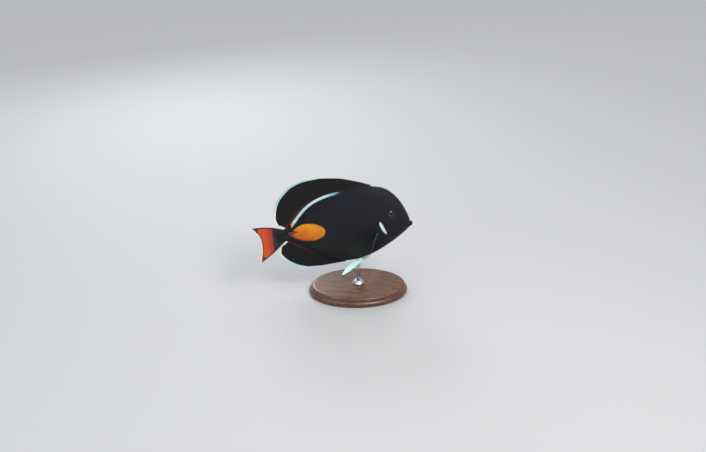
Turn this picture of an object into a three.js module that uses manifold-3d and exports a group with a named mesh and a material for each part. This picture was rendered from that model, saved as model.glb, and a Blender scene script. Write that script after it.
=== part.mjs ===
// Adult Achilles tang (Acanthurus achilles), life size, held in its swimming pose on a plain stand.
// Millimetres: +X towards the head, +Y towards the fish's left, +Z up.
// The origin is the centre of the stand's underside.
// The fish is described straight: a station runs from 0 at the snout to 1 at the end of the tail
// stalk, and heights and half widths are fractions of the same length. The pieces are parted while
// the fish is straight, then the rear is swept to its right and the whole fish is tipped head-up.

import * as THREE from 'three';
import { mergeVertices } from 'three/addons/utils/BufferGeometryUtils.js';
import Module from 'manifold-3d';

const wasm = await Module();
wasm.setup();

const radians = THREE.MathUtils.degToRad;
const clamp = THREE.MathUtils.clamp;
const lerp = THREE.MathUtils.lerp;

// Driving sizes of the fish
const LENGTH = 166;
const GAP = 0.3;
const PITCH = radians(6.5);
const SWEEP = radians(30);
const SWEEP_START = 0.8;
const SWEEP_END = 1.02;

// Driving sizes of the stand
const AXIS_HEIGHT = 95;
const ROD_STATION = 0.42;
const ROD_RADIUS = 2.5;
const BASE_SIZE = { length: 124, width: 82, height: 12 };
const COLLAR = { radius: 7.5, straight: 2.25, top: 4.65, height: 5 };

// Outline and section of the body, as [station, fraction of LENGTH]
const backLine = smoothCurve([
  [0, -0.03], [0.03, 0.062], [0.055, 0.122], [0.085, 0.175], [0.12, 0.219], [0.16, 0.254],
  [0.21, 0.278], [0.27, 0.289], [0.35, 0.293], [0.45, 0.292], [0.55, 0.282], [0.63, 0.266],
  [0.7, 0.24], [0.76, 0.203], [0.81, 0.158], [0.85, 0.115], [0.89, 0.075], [0.925, 0.053],
  [0.96, 0.046], [1.0, 0.048],
]);
const bellyLine = smoothCurve([
  [0, -0.06], [0.02, -0.08], [0.05, -0.104], [0.09, -0.133], [0.14, -0.167], [0.2, -0.203],
  [0.27, -0.239], [0.35, -0.27], [0.43, -0.287], [0.5, -0.289], [0.57, -0.275], [0.63, -0.248],
  [0.7, -0.205], [0.76, -0.165], [0.81, -0.13], [0.85, -0.1], [0.89, -0.071], [0.925, -0.054],
  [0.96, -0.047], [1.0, -0.049],
]);
const sideLine = smoothCurve([
  [0, 0.018], [0.02, 0.026], [0.05, 0.041], [0.09, 0.057], [0.14, 0.073], [0.2, 0.087],
  [0.28, 0.097], [0.38, 0.096], [0.5, 0.088], [0.6, 0.076], [0.7, 0.06], [0.78, 0.047],
  [0.85, 0.036], [0.93, 0.026], [0.97, 0.019], [1.0, 0.013],
]);
const widestLine = smoothCurve([[0, -0.046], [0.08, -0.02], [0.18, 0.0], [0.5, 0.005], [1.0, 0.0]]);
const pinchLine = smoothCurve([[0, 0.9], [0.1, 1.05], [0.4, 1.15], [0.75, 1.3], [0.9, 1.1], [1, 1]]);
const SNOUT_ROUND = 0.02;
const STALK_END = 1.02;
const STALK_ROUND = 0.03;
const RING_POINTS = 36;

// Where the body is parted
const GILL_EDGE = smoothCurve([
  [-0.22, 0.15], [-0.17, 0.178], [-0.11, 0.214], [-0.04, 0.242], [0.02, 0.247], [0.08, 0.235],
  [0.15, 0.222], [0.3, 0.205],
]);
const STALK_CUT = 0.825;
const WALL_HEIGHTS = [-0.32, 0.36];

// Fins. Their rays are ridges, and their roots are sunk into the body before it is cut out of them.
// Their rays bow back and outwards, by a share of how far the tip stands behind the root.
const RAY_HALF = { root: 0.75, tip: 0.3 };
const MEMBRANE_HALF = 0.28;
const MEMBRANE_SHARE = 0.35;
const MEMBRANE_NOTCH = { spine: 0.07, soft: 0.012 };
const FIN_SINK = 0.014;
const FIN_BOW = { back: 0.48, out: 0.19 };

const DORSAL = {
  rays: 40,
  spines: 9,
  sway: { size: 0.009, waves: 1.2, start: 0.1 },
  base: [0.25, 0.915],
  edge: backLine,
  side: 1,
  margin: [
    [0.273, 0.303], [0.344, 0.334], [0.416, 0.361], [0.487, 0.384], [0.56, 0.398], [0.633, 0.408],
    [0.708, 0.408], [0.768, 0.403], [0.817, 0.387], [0.866, 0.363], [0.911, 0.325], [0.955, 0.28],
    [0.987, 0.208], [0.998, 0.15], [0.985, 0.095],
  ],
  lean: 1.1,
};
const ANAL = {
  rays: 30,
  spines: 3,
  sway: { size: 0.007, waves: 0.9, start: 0.45 },
  base: [0.5, 0.91],
  edge: bellyLine,
  side: -1,
  margin: [
    [0.526, -0.298], [0.638, -0.3], [0.714, -0.306], [0.798, -0.306], [0.866, -0.287],
    [0.926, -0.247], [0.975, -0.193], [1.0, -0.138], [0.986, -0.09],
  ],
  lean: 1.05,
};
const CAUDAL = {
  rays: 16,
  spines: 0,
  rootStation: 0.994,
  rootForward: 0.045,
  rootSpread: 0.04,
  middleReach: 1.135,
  lobeReach: { upper: 1.205, lower: 1.178 },
  lobeSpread: 0.148,
  fork: 2.4,
  bow: 0.07,
  rootHalf: 1.5,
};
const PECTORAL = {
  rays: 16,
  spines: 0,
  upper: [0.262, -0.05],
  lower: [0.288, -0.1],
  leading: { back: radians(17), down: radians(6) },
  trailing: { back: radians(72), down: radians(34) },
  reach: smoothCurve([[0, 0.225], [0.12, 0.25], [0.3, 0.238], [0.6, 0.18], [1, 0.11]]),
  cup: 0.05,
};
const PELVIC = {
  rays: 6,
  spines: 1,
  outer: [0.335, 0.032, -0.25],
  inner: [0.356, 0.016, -0.262],
  leading: { back: radians(66), down: radians(22) },
  trailing: { back: radians(78), down: radians(14) },
  reach: smoothCurve([[0, 0.2], [0.2, 0.25], [0.5, 0.215], [1, 0.13]]),
  cup: 0.03,
};

// Head features
const EYE = { station: 0.143, height: 0.08, radius: 5.6, depth: 3.6, sink: 1.9 };
const ORBIT_RIM = { radius: 5.2, thick: 0.8, sink: 0.2 };
const MOUTH = {
  height: -0.046, corner: 0.036, drop: 0.008, forward: 0.3, inset: 0.47,
  lip: 1.35, lipOffset: 1.16, lipCorner: 0.55,
};
const NOSTRILS = [
  { station: 0.098, height: 0.075, radius: 0.95 },
  { station: 0.112, height: 0.079, radius: 0.6 },
];
const NOSTRIL_SINK = 0.1;
const SCALPEL = {
  hinge: 0.918, tip: 0.842, height: 0.018,
  half: 1.5, thick: 0.8, tipThick: 0.48, proud: 0.35,
};

// Finishes
const finishes = {
  skin: material(0x15161c, 0.5, 0),
  fin: material(0x101116, 0.55, 0),
  tail: material(0xc4561e, 0.5, 0),
  pelvic: material(0xa9d8d4, 0.5, 0),
  eye: material(0x1b120c, 0.1, 0),
  spine: material(0x4a2a14, 0.3, 0),
  wood: material(0x4a2c1a, 0.45, 0),
  steel: material(0xb9bcc0, 0.3, 1),
};

function material(color, roughness, metalness) {
  return new THREE.MeshStandardMaterial({ color, roughness, metalness });
}

// Monotone smooth curve through [position, value] points
function smoothCurve(points) {
  const spans = points.slice(1).map((point, i) => point[0] - points[i][0]);
  const slopes = spans.map((span, i) => (points[i + 1][1] - points[i][1]) / span);
  const tangents = points.map((_, i) => {
    const before = slopes[Math.max(i - 1, 0)];
    const after = slopes[Math.min(i, slopes.length - 1)];
    return before * after <= 0 ? 0 : (2 * before * after) / (before + after);
  });
  return (position) => {
    const at = points.findLastIndex((point) => point[0] <= position);
    const i = clamp(at, 0, spans.length - 1);
    const t = clamp((position - points[i][0]) / spans[i], 0, 1);
    const [t2, t3] = [t * t, t * t * t];
    return (
      (2 * t3 - 3 * t2 + 1) * points[i][1] +
      (t3 - 2 * t2 + t) * spans[i] * tangents[i] +
      (3 * t2 - 2 * t3) * points[i + 1][1] +
      (t3 - t2) * spans[i] * tangents[i + 1]
    );
  };
}

// Smooth path through [station, height] points, from 0 at the first to 1 at the last
function smoothPath(points) {
  const lengths = [0];
  for (let i = 1; i < points.length; i++) {
    const [from, to] = [points[i - 1], points[i]];
    lengths.push(lengths[i - 1] + Math.hypot(to[0] - from[0], to[1] - from[1]));
  }
  const total = lengths.at(-1);
  const station = smoothCurve(points.map((point, i) => [lengths[i] / total, point[0]]));
  const height = smoothCurve(points.map((point, i) => [lengths[i] / total, point[1]]));
  return (t) => [station(t), height(t)];
}

// Body coordinates to millimetres in the straight fish's frame
function place(station, side, height) {
  return new THREE.Vector3((ROD_STATION - station) * LENGTH, side * LENGTH, height * LENGTH);
}

// Half width of the body at a station and height
function flank(station, height) {
  const middle = widestLine(station);
  const reach = height > middle ? backLine(station) - middle : middle - bellyLine(station);
  const level = clamp((height - middle) / reach, -1, 1);
  return sideLine(station) * Math.pow(1 - level * level, pinchLine(station) / 2);
}

// Outward normal of the fish's flank; side is 1 on its left and -1 on its right
function flankNormal(station, height, side) {
  const step = 0.004;
  const along = place(station - step, side * flank(station - step, height), height);
  along.sub(place(station + step, side * flank(station + step, height), height));
  const upward = place(station, side * flank(station, height + step), height + step);
  upward.sub(place(station, side * flank(station, height - step), height - step));
  return along.cross(upward).multiplyScalar(-side).normalize();
}

// A closed mesh from rings of equal length, with a point at each end
function loft(rings, first, last) {
  const count = rings[0].length;
  const points = [first, ...rings.flat(), last];
  const end = points.length - 1;
  const faces = [];
  for (let k = 0; k < count; k++) {
    const next = (k + 1) % count;
    faces.push([0, 1 + next, 1 + k]);
    for (let r = 0; r < rings.length - 1; r++) {
      const here = 1 + r * count;
      const there = here + count;
      faces.push([here + k, here + next, there + next], [here + k, there + next, there + k]);
    }
    const rim = 1 + (rings.length - 1) * count;
    faces.push([end, rim + k, rim + next]);
  }
  return closedMesh(points, faces);
}

function closedMesh(points, faces) {
  const geometry = new THREE.BufferGeometry();
  geometry.setAttribute('position', new THREE.Float32BufferAttribute(points.flatMap((p) => p.toArray()), 3));
  geometry.setIndex(faces.flat());
  return geometry;
}

// Three.js geometry to solid and back
function toSolid(geometry) {
  const bare = geometry.clone();
  bare.deleteAttribute('normal');
  bare.deleteAttribute('uv');
  const merged = mergeVertices(bare, 1e-5);
  const index = Array.from(merged.index.array);
  const kept = [];
  for (let i = 0; i < index.length; i += 3) {
    const [a, b, c] = index.slice(i, i + 3);
    if (a !== b && b !== c && c !== a) kept.push(a, b, c);
  }
  const mesh = new wasm.Mesh({
    numProp: 3,
    vertProperties: Float32Array.from(merged.attributes.position.array),
    triVerts: Uint32Array.from(kept),
  });
  return new wasm.Manifold(mesh);
}

function toGeometry(solid) {
  const mesh = solid.getMesh();
  const geometry = new THREE.BufferGeometry();
  geometry.setAttribute('position', new THREE.Float32BufferAttribute(mesh.vertProperties, 3));
  geometry.setIndex(Array.from(mesh.triVerts));
  return geometry;
}

// The largest closed surface of a solid
function largest(solid) {
  return solid.decompose().sort((a, b) => b.volume() - a.volume())[0];
}

// Whole body, snout to the end of the tail stalk, enlarged by a few tenths where a neighbour is cut
function bodySolid(grow = 0) {
  const rings = [];
  const start = SNOUT_ROUND * 0.03;
  const stations = [
    ...span(5, (t) => start + (SNOUT_ROUND - start) * (1 - Math.cos((t * Math.PI) / 2))),
    ...span(13, (t) => lerp(0.033, 0.25, t)),
    ...span(15, (t) => lerp(0.283, 0.815, t)),
    ...span(8, (t) => lerp(0.842, STALK_END - STALK_ROUND, t)),
    ...span(3, (t) => STALK_END - STALK_ROUND * (1 - Math.sin(((t * 0.8 + 0.15) * Math.PI) / 2))),
  ];
  for (const station of stations) {
    const round = Math.min(
      Math.sqrt(1 - Math.pow(1 - Math.min(station / SNOUT_ROUND, 1), 2)),
      Math.sqrt(1 - Math.pow(Math.max((station - STALK_END + STALK_ROUND) / STALK_ROUND, 0), 2)),
    );
    const middle = widestLine(station);
    const wide = sideLine(station) * round * LENGTH + grow;
    const up = (backLine(station) - middle) * round * LENGTH + grow;
    const down = (middle - bellyLine(station)) * round * LENGTH + grow;
    const ring = [];
    for (let k = 0; k < RING_POINTS; k++) {
      const turn = (k / RING_POINTS) * 2 * Math.PI;
      const sideways = Math.sign(Math.cos(turn)) * Math.pow(Math.abs(Math.cos(turn)), pinchLine(station));
      const point = place(station, 0, middle);
      point.y -= Math.abs(Math.cos(turn)) < 1e-9 ? 0 : wide * sideways;
      point.z += Math.sin(turn) * (Math.sin(turn) > 0 ? up : down);
      ring.push(point);
    }
    rings.push(ring);
  }
  const first = place(0, 0, widestLine(0));
  const last = place(STALK_END, 0, widestLine(1));
  first.x += grow;
  last.x -= grow;
  return toSolid(loft(rings, first, last));
}

function span(count, at) {
  return Array.from({ length: count }, (_, i) => at(i / (count - 1)));
}

// A bent round rod that follows points, with a radius for each, its ends closed
function taperedRod(points, radii, sides, across) {
  const rings = points.map((point, i) => {
    const ahead = points[Math.min(i + 1, points.length - 1)];
    const behind = points[Math.max(i - 1, 0)];
    const along = ahead.clone().sub(behind).normalize();
    const first = across.clone().cross(along).normalize();
    const second = along.clone().cross(first);
    return Array.from({ length: sides }, (_, k) => {
      const turn = (k / sides) * 2 * Math.PI;
      const out = first.clone().multiplyScalar(Math.cos(turn)).addScaledVector(second, Math.sin(turn));
      return point.clone().addScaledVector(out, radii[i]);
    });
  });
  return toSolid(loft(rings, points[0], points.at(-1)));
}

// The two lips, bent round the front of the snout, with the line of the mouth between them
function lipSolid(upper) {
  const turns = span(13, (t) => lerp(-Math.PI / 2, Math.PI / 2, t));
  const points = turns.map((turn) => {
    const back = Math.sin(turn) * Math.sin(turn);
    const station = MOUTH.corner * back;
    const height = MOUTH.height - MOUTH.drop * back;
    const point = place(station, 0, height);
    point.x += MOUTH.forward * (1 - back);
    point.y = Math.sin(turn) * (flank(MOUTH.corner, height) * LENGTH - MOUTH.inset);
    point.z += upper * lerp(MOUTH.lipOffset, MOUTH.lipCorner, back);
    return point;
  });
  const radii = turns.map((turn) => lerp(MOUTH.lip, MOUTH.lipCorner, Math.pow(Math.sin(turn), 2)));
  return taperedRod(points, radii, 8, new THREE.Vector3(0, 0, 1));
}

// A ball squeezed along the flank's normal, set into the flank
function flankBall(spot, side, radius, depth, sink, around, rings) {
  const normal = flankNormal(spot.station, spot.height, side);
  const centre = place(spot.station, side * flank(spot.station, spot.height), spot.height);
  const ball = new THREE.SphereGeometry(1, around, rings);
  ball.rotateX(Math.PI / 2);
  ball.scale(radius, radius, depth);
  ball.applyQuaternion(new THREE.Quaternion().setFromUnitVectors(new THREE.Vector3(0, 0, 1), normal));
  ball.translate(...centre.addScaledVector(normal, -sink).toArray());
  return ball;
}

// The raised rim round the eye
function orbitRim(side) {
  const normal = flankNormal(EYE.station, EYE.height, side);
  const centre = place(EYE.station, side * flank(EYE.station, EYE.height), EYE.height);
  const rim = new THREE.TorusGeometry(ORBIT_RIM.radius, ORBIT_RIM.thick, 5, 20);
  rim.applyQuaternion(new THREE.Quaternion().setFromUnitVectors(new THREE.Vector3(0, 0, 1), normal));
  rim.translate(...centre.addScaledVector(normal, -ORBIT_RIM.sink).toArray());
  return toSolid(rim);
}

// The scalpel lies in its groove along the tail stalk, hinged behind and pointing forwards
function scalpelSolid(side, grow) {
  const steps = span(8, (t) => t);
  const along = (t) => lerp(SCALPEL.hinge, SCALPEL.tip, t);
  const rings = steps.map((t) => {
    const station = along(t);
    const normal = flankNormal(station, SCALPEL.height, side);
    const centre = place(station, side * flank(station, SCALPEL.height), SCALPEL.height);
    centre.addScaledVector(normal, SCALPEL.proud - SCALPEL.thick);
    const taper = Math.sqrt(Math.max(1 - Math.pow(t, 1.6), 0.012)) * Math.min(1, 0.55 + 2.2 * t);
    const tall = SCALPEL.half * taper + grow;
    const thick = lerp(SCALPEL.thick, SCALPEL.tipThick, t) + grow;
    return Array.from({ length: 8 }, (_, k) => {
      const turn = (side * k * Math.PI) / 4;
      const point = centre.clone().addScaledVector(normal, Math.cos(turn) * thick);
      point.z += Math.sin(turn) * tall;
      return point;
    });
  });
  const middle = (ring) => ring.reduce((sum, p) => sum.add(p), new THREE.Vector3()).divideScalar(ring.length);
  const first = middle(rings[0]).add(new THREE.Vector3(-0.4 - grow, 0, 0));
  const last = middle(rings.at(-1)).add(new THREE.Vector3(0.5 + grow, 0, 0));
  return toSolid(loft(rings, first, last));
}

// A thin wall across the whole body that parts it along station(height)
function wallSolid(stationAt, steps) {
  const edge = span(steps, (t) => {
    const height = lerp(...WALL_HEIGHTS, t);
    return place(stationAt(height), 0, height);
  });
  const outline = [];
  for (const point of edge) outline.push(new THREE.Vector2(point.x + GAP / 2, point.z));
  for (const point of edge.toReversed()) outline.push(new THREE.Vector2(point.x - GAP / 2, point.z));
  const wall = new THREE.ExtrudeGeometry(new THREE.Shape(outline), { depth: LENGTH, bevelEnabled: false });
  wall.rotateX(Math.PI / 2);
  wall.translate(0, LENGTH / 2, 0);
  return toSolid(wall);
}

// A thin sheet from columns of { point, half }, thickened along its own normal.
// Both faces carry the same triangles.
function sheetSolid(columns) {
  const [wide, tall] = [columns.length, columns[0].length];
  const at = (c, r) => columns[clamp(c, 0, wide - 1)][clamp(r, 0, tall - 1)].point;
  const faces = [];
  const front = [];
  const rear = [];
  for (let c = 0; c < wide; c++) {
    for (let r = 0; r < tall; r++) {
      const across = at(c + 1, r).clone().sub(at(c - 1, r));
      const outward = at(c, r + 1).clone().sub(at(c, r - 1));
      const normal = across.cross(outward).normalize();
      front.push(at(c, r).clone().addScaledVector(normal, columns[c][r].half));
      rear.push(at(c, r).clone().addScaledVector(normal, -columns[c][r].half));
    }
  }
  const back = front.length;
  const quad = (a, b, c, d) => faces.push([a, b, c], [a, c, d]);
  const id = (c, r) => c * tall + r;
  for (let c = 0; c < wide - 1; c++) {
    for (let r = 0; r < tall - 1; r++) {
      const [a, b, d, e] = [id(c, r), id(c + 1, r), id(c + 1, r + 1), id(c, r + 1)];
      faces.push([a, b, d], [a, d, e], [back + a, back + d, back + b], [back + a, back + e, back + d]);
    }
    quad(id(c, 0), back + id(c, 0), back + id(c + 1, 0), id(c + 1, 0));
    quad(id(c, tall - 1), id(c + 1, tall - 1), back + id(c + 1, tall - 1), back + id(c, tall - 1));
  }
  for (let r = 0; r < tall - 1; r++) {
    quad(id(0, r), id(0, r + 1), back + id(0, r + 1), back + id(0, r));
    quad(id(wide - 1, r), back + id(wide - 1, r), back + id(wide - 1, r + 1), id(wide - 1, r + 1));
  }
  return toSolid(closedMesh([...front, ...rear], faces));
}

// Fin rays as ridges of the membrane's own surface: a column on each ray and one between each two.
// route(u, t) gives the place of ray u (0 to 1) at t (0 at the root, 1 at the tip).
function rayedFin(fin, rows, route, rootHalf = RAY_HALF.root) {
  const membrane = MEMBRANE_HALF + MEMBRANE_SHARE * (rootHalf - RAY_HALF.root);
  const columns = span(2 * fin.rays - 1, (u) => u).map((u, c) => {
    const ridge = c % 2 === 0;
    const notch = c < 2 * fin.spines ? MEMBRANE_NOTCH.spine : MEMBRANE_NOTCH.soft;
    return span(rows, (t) => {
      const thickness = lerp(rootHalf, RAY_HALF.tip, Math.pow(t, 0.6));
      return {
        point: route(u, ridge ? t : t * (1 - notch)),
        half: ridge ? thickness : Math.min(thickness, membrane),
      };
    });
  });
  return sheetSolid(columns);
}

// Dorsal and anal fins stand in the fish's middle plane and wave a little towards their edges
function medianFin(fin) {
  const margin = smoothPath(fin.margin);
  return rayedFin(fin, 4, (u, t) => {
    const station = lerp(fin.base[0], fin.base[1], u);
    const root = [station, fin.edge(station) - fin.side * FIN_SINK];
    const tip = margin(Math.pow(u, fin.lean));
    const bow = (tip[0] - root[0]) * t * (1 - t);
    const sway = fin.sway.size * t * t * Math.sin(2 * Math.PI * (fin.sway.waves * u + fin.sway.start));
    return place(
      lerp(root[0], tip[0], t) - FIN_BOW.back * bow,
      sway,
      lerp(root[1], tip[1], t) + fin.side * FIN_BOW.out * bow,
    );
  });
}

function caudalFin() {
  return rayedFin(CAUDAL, 5, (u, t) => {
    const level = 1 - 2 * u;
    const root = [
      CAUDAL.rootStation - CAUDAL.rootForward * Math.pow(Math.abs(level), 3),
      CAUDAL.rootSpread * level,
    ];
    const lobe = level > 0 ? CAUDAL.lobeReach.upper : CAUDAL.lobeReach.lower;
    const reach = lerp(CAUDAL.middleReach, lobe, Math.pow(Math.abs(level), CAUDAL.fork));
    const tip = [reach, CAUDAL.lobeSpread * level];
    const bow = CAUDAL.bow * level * t * (1 - t);
    return place(lerp(root[0], tip[0], t), 0, lerp(root[1], tip[1], t) + bow);
  }, CAUDAL.rootHalf);
}

// Paired fins fan out from a short base on the flank
function heading(angles, side) {
  const level = Math.cos(angles.down);
  return new THREE.Vector3(
    -level * Math.sin(angles.back),
    side * level * Math.cos(angles.back),
    -Math.sin(angles.down),
  );
}

function pairedFin(fin, side, first, last) {
  const leading = heading(fin.leading, side);
  const trailing = heading(fin.trailing, side);
  return rayedFin(fin, 4, (u, t) => {
    const root = first.clone().lerp(last, u);
    const along = leading.clone().lerp(trailing, u).normalize();
    const reach = fin.reach(u) * LENGTH;
    const point = root.addScaledVector(along, lerp(-FIN_SINK * LENGTH, reach, t));
    point.z -= fin.cup * reach * t * t;
    return point;
  });
}

function pectoralFin(side) {
  const [upper, lower] = [PECTORAL.upper, PECTORAL.lower].map(([station, height]) =>
    place(station, side * flank(station, height), height));
  return pairedFin(PECTORAL, side, upper, lower);
}

function pelvicFin(side) {
  const [outer, inner] = [PELVIC.outer, PELVIC.inner].map(([station, out, height]) =>
    place(station, side * out, height));
  return pairedFin(PELVIC, side, outer, inner);
}

// Sweep the straight fish's rear to its right along an arc
function sweepRear(geometry) {
  const arc = (SWEEP_END - SWEEP_START) * LENGTH;
  const radius = arc / SWEEP;
  const startX = (ROD_STATION - SWEEP_START) * LENGTH;
  const position = geometry.attributes.position;
  for (let i = 0; i < position.count; i++) {
    const past = startX - position.getX(i);
    if (past <= 0) continue;
    const turn = Math.min(past / radius, SWEEP);
    const beyond = Math.max(past - arc, 0);
    const side = position.getY(i);
    position.setX(i, startX - radius * Math.sin(turn) - beyond * Math.cos(turn) - side * Math.sin(turn));
    position.setY(i, side * Math.cos(turn) - radius * (1 - Math.cos(turn)) - beyond * Math.sin(turn));
  }
  return geometry;
}

// The body and its three lengths
function bodyPieces() {
  let body = bodySolid();
  for (const upper of [1, -1]) body = body.add(lipSolid(upper));
  for (const side of [1, -1]) {
    body = body.add(orbitRim(side));
    body = body.subtract(toSolid(flankBall(EYE, side, EYE.radius + GAP, EYE.depth + GAP, EYE.sink, 18, 8)));
    for (const nostril of NOSTRILS) {
      const pit = flankBall(nostril, side, nostril.radius, nostril.radius, NOSTRIL_SINK, 8, 6);
      body = body.subtract(toSolid(pit));
    }
    body = body.subtract(scalpelSolid(side, GAP));
  }
  body = body.subtract(wallSolid(GILL_EDGE, 18));
  body = body.subtract(wallSolid(() => STALK_CUT, 2));
  const lengths = body.decompose().sort((a, b) => b.volume() - a.volume()).slice(0, 3);
  const middleX = (solid) => (solid.boundingBox().min[0] + solid.boundingBox().max[0]) / 2;
  return lengths.sort((a, b) => middleX(b) - middleX(a));
}

// The stand: an oval plinth, a collar and one rod up to the belly
function baseGeometry() {
  const profile = [[0, 0], [0.97, 0], [1, 0.12], [1, 0.45], [0.965, 0.55], [0.95, 0.9], [0.92, 1], [0, 1]];
  const plinth = new THREE.LatheGeometry(profile.map(([r, h]) => new THREE.Vector2(r, h)), 48);
  plinth.rotateX(Math.PI / 2);
  plinth.scale(BASE_SIZE.length / 2, BASE_SIZE.width / 2, BASE_SIZE.height);
  return toGeometry(toSolid(plinth));
}

function collarGeometry() {
  const bore = ROD_RADIUS + GAP;
  const profile = [
    [bore, 0], [COLLAR.radius, 0], [COLLAR.radius, COLLAR.straight],
    [COLLAR.top, COLLAR.height], [bore, COLLAR.height], [bore, 0],
  ];
  const ring = new THREE.LatheGeometry(profile.map(([r, h]) => new THREE.Vector2(r, h)), 24);
  ring.rotateX(Math.PI / 2);
  ring.translate(0, 0, BASE_SIZE.height + GAP);
  return toGeometry(toSolid(ring));
}

function rodSolid(intoFish, grownBody) {
  const bottom = BASE_SIZE.height + GAP;
  const rod = new THREE.CylinderGeometry(ROD_RADIUS, ROD_RADIUS, AXIS_HEIGHT - bottom, 20);
  rod.rotateX(Math.PI / 2);
  rod.translate(0, 0, (AXIS_HEIGHT + bottom) / 2);
  rod.applyMatrix4(intoFish);
  return largest(toSolid(rod).subtract(grownBody));
}

// Assembly
const group = new THREE.Group();
const fish = new THREE.Group();
fish.rotation.y = -PITCH;
fish.position.set(bellyLine(ROD_STATION) * LENGTH * Math.sin(PITCH), 0, AXIS_HEIGHT);
fish.updateMatrixWorld();
group.add(fish);

function addNode(parent, name, geometry, finish) {
  geometry.computeVertexNormals();
  const mesh = new THREE.Mesh(geometry, finish);
  mesh.name = name;
  parent.add(mesh);
}

function addFishNode(name, solid, finish) {
  addNode(fish, name, sweepRear(toGeometry(solid)), finish);
}

const grownBody = bodySolid(GAP);
const [head, trunk, stalk] = bodyPieces();
addFishNode('head', head, finishes.skin);
addFishNode('trunk', trunk, finishes.skin);
addFishNode('caudal_peduncle', stalk, finishes.skin);
addFishNode('dorsal_fin', largest(medianFin(DORSAL).subtract(grownBody)), finishes.fin);
addFishNode('anal_fin', largest(medianFin(ANAL).subtract(grownBody)), finishes.fin);
addFishNode('caudal_fin', largest(caudalFin().subtract(grownBody)), finishes.tail);

for (const [suffix, side] of [['left', 1], ['right', -1]]) {
  const eye = toSolid(flankBall(EYE, side, EYE.radius, EYE.depth, EYE.sink, 18, 8));
  addFishNode(`eye_${suffix}`, eye, finishes.eye);
  addFishNode(`pectoral_fin_${suffix}`, largest(pectoralFin(side).subtract(grownBody)), finishes.fin);
  addFishNode(`pelvic_fin_${suffix}`, largest(pelvicFin(side).subtract(grownBody)), finishes.pelvic);
  addFishNode(`caudal_spine_${suffix}`, scalpelSolid(side, 0), finishes.spine);
}

addNode(group, 'stand_base', baseGeometry(), finishes.wood);
addNode(group, 'stand_collar', collarGeometry(), finishes.steel);
const rod = rodSolid(fish.matrixWorld.clone().invert(), grownBody);
addNode(fish, 'stand_rod', toGeometry(rod), finishes.steel);

export default group;
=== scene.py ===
# %% [markdown]
# # An Achilles tang on its stand
# A life-size museum model of a small black reef fish, with an orange patch before its tail and a
# white line along the root of its long fin. Its solids come ready made, in metres. This lesson fits
# a skin, a coat of scales, rayed fins, eyes and a polished stand around them.

import math

import bpy
import numpy as np
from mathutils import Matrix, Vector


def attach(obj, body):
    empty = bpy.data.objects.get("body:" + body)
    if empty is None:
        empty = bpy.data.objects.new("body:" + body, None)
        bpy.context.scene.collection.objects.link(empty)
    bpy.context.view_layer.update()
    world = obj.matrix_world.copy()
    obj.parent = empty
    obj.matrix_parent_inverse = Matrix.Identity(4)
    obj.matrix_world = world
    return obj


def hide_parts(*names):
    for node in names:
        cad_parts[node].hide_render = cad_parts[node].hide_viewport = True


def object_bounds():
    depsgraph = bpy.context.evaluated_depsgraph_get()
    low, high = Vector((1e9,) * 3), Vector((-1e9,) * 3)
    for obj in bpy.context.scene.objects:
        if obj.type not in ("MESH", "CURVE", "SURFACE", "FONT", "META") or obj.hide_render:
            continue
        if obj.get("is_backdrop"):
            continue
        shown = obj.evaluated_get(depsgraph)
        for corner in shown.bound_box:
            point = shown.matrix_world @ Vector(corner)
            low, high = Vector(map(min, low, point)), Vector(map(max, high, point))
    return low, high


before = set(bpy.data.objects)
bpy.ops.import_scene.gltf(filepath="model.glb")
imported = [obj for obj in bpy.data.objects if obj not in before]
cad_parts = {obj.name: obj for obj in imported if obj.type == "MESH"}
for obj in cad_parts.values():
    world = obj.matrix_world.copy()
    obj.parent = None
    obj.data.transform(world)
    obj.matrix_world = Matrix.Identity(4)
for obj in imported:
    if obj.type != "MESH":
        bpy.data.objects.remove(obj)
cad_box = [list(corner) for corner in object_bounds()]
print("nodes:", ", ".join(sorted(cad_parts)))

# %% [markdown]
# ## One set of body coordinates
# A fish is easiest to describe straight. A station runs from 0 at the snout to 1 at the end of the
# tail stalk, and heights and half widths are fractions of the same length. A few outlines then give
# the whole body. They could be Bezier curves in Blender, but plain functions can be asked for a value
# anywhere, which the fins, scales and markings all need.

# %% Smooth curves through a few points
def smooth_curve(points):
    """A monotone smooth curve through (position, value) points, as a function of arrays."""
    at, value = np.array(points, float).T
    span = np.diff(at)
    slope = np.diff(value) / span
    before = np.concatenate([slope[:1], slope])
    after = np.concatenate([slope, slope[-1:]])
    turning = before * after <= 0
    tangent = np.where(turning, 0, 2 * before * after / np.where(turning, 1, before + after))

    def curve(position):
        position = np.asarray(position, float)
        i = np.clip(np.searchsorted(at, position, side="right") - 1, 0, len(span) - 1)
        t = np.clip((position - at[i]) / span[i], 0, 1)
        start = (2 * t**3 - 3 * t**2 + 1) * value[i] + (t**3 - 2 * t**2 + t) * span[i] * tangent[i]
        end = (3 * t**2 - 2 * t**3) * value[i + 1] + (t**3 - t**2) * span[i] * tangent[i + 1]
        return start + end

    return curve


print("halfway from 0 to 1 a smooth curve gives", float(smooth_curve([(0, 0), (1, 1)])(0.5)))

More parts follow.
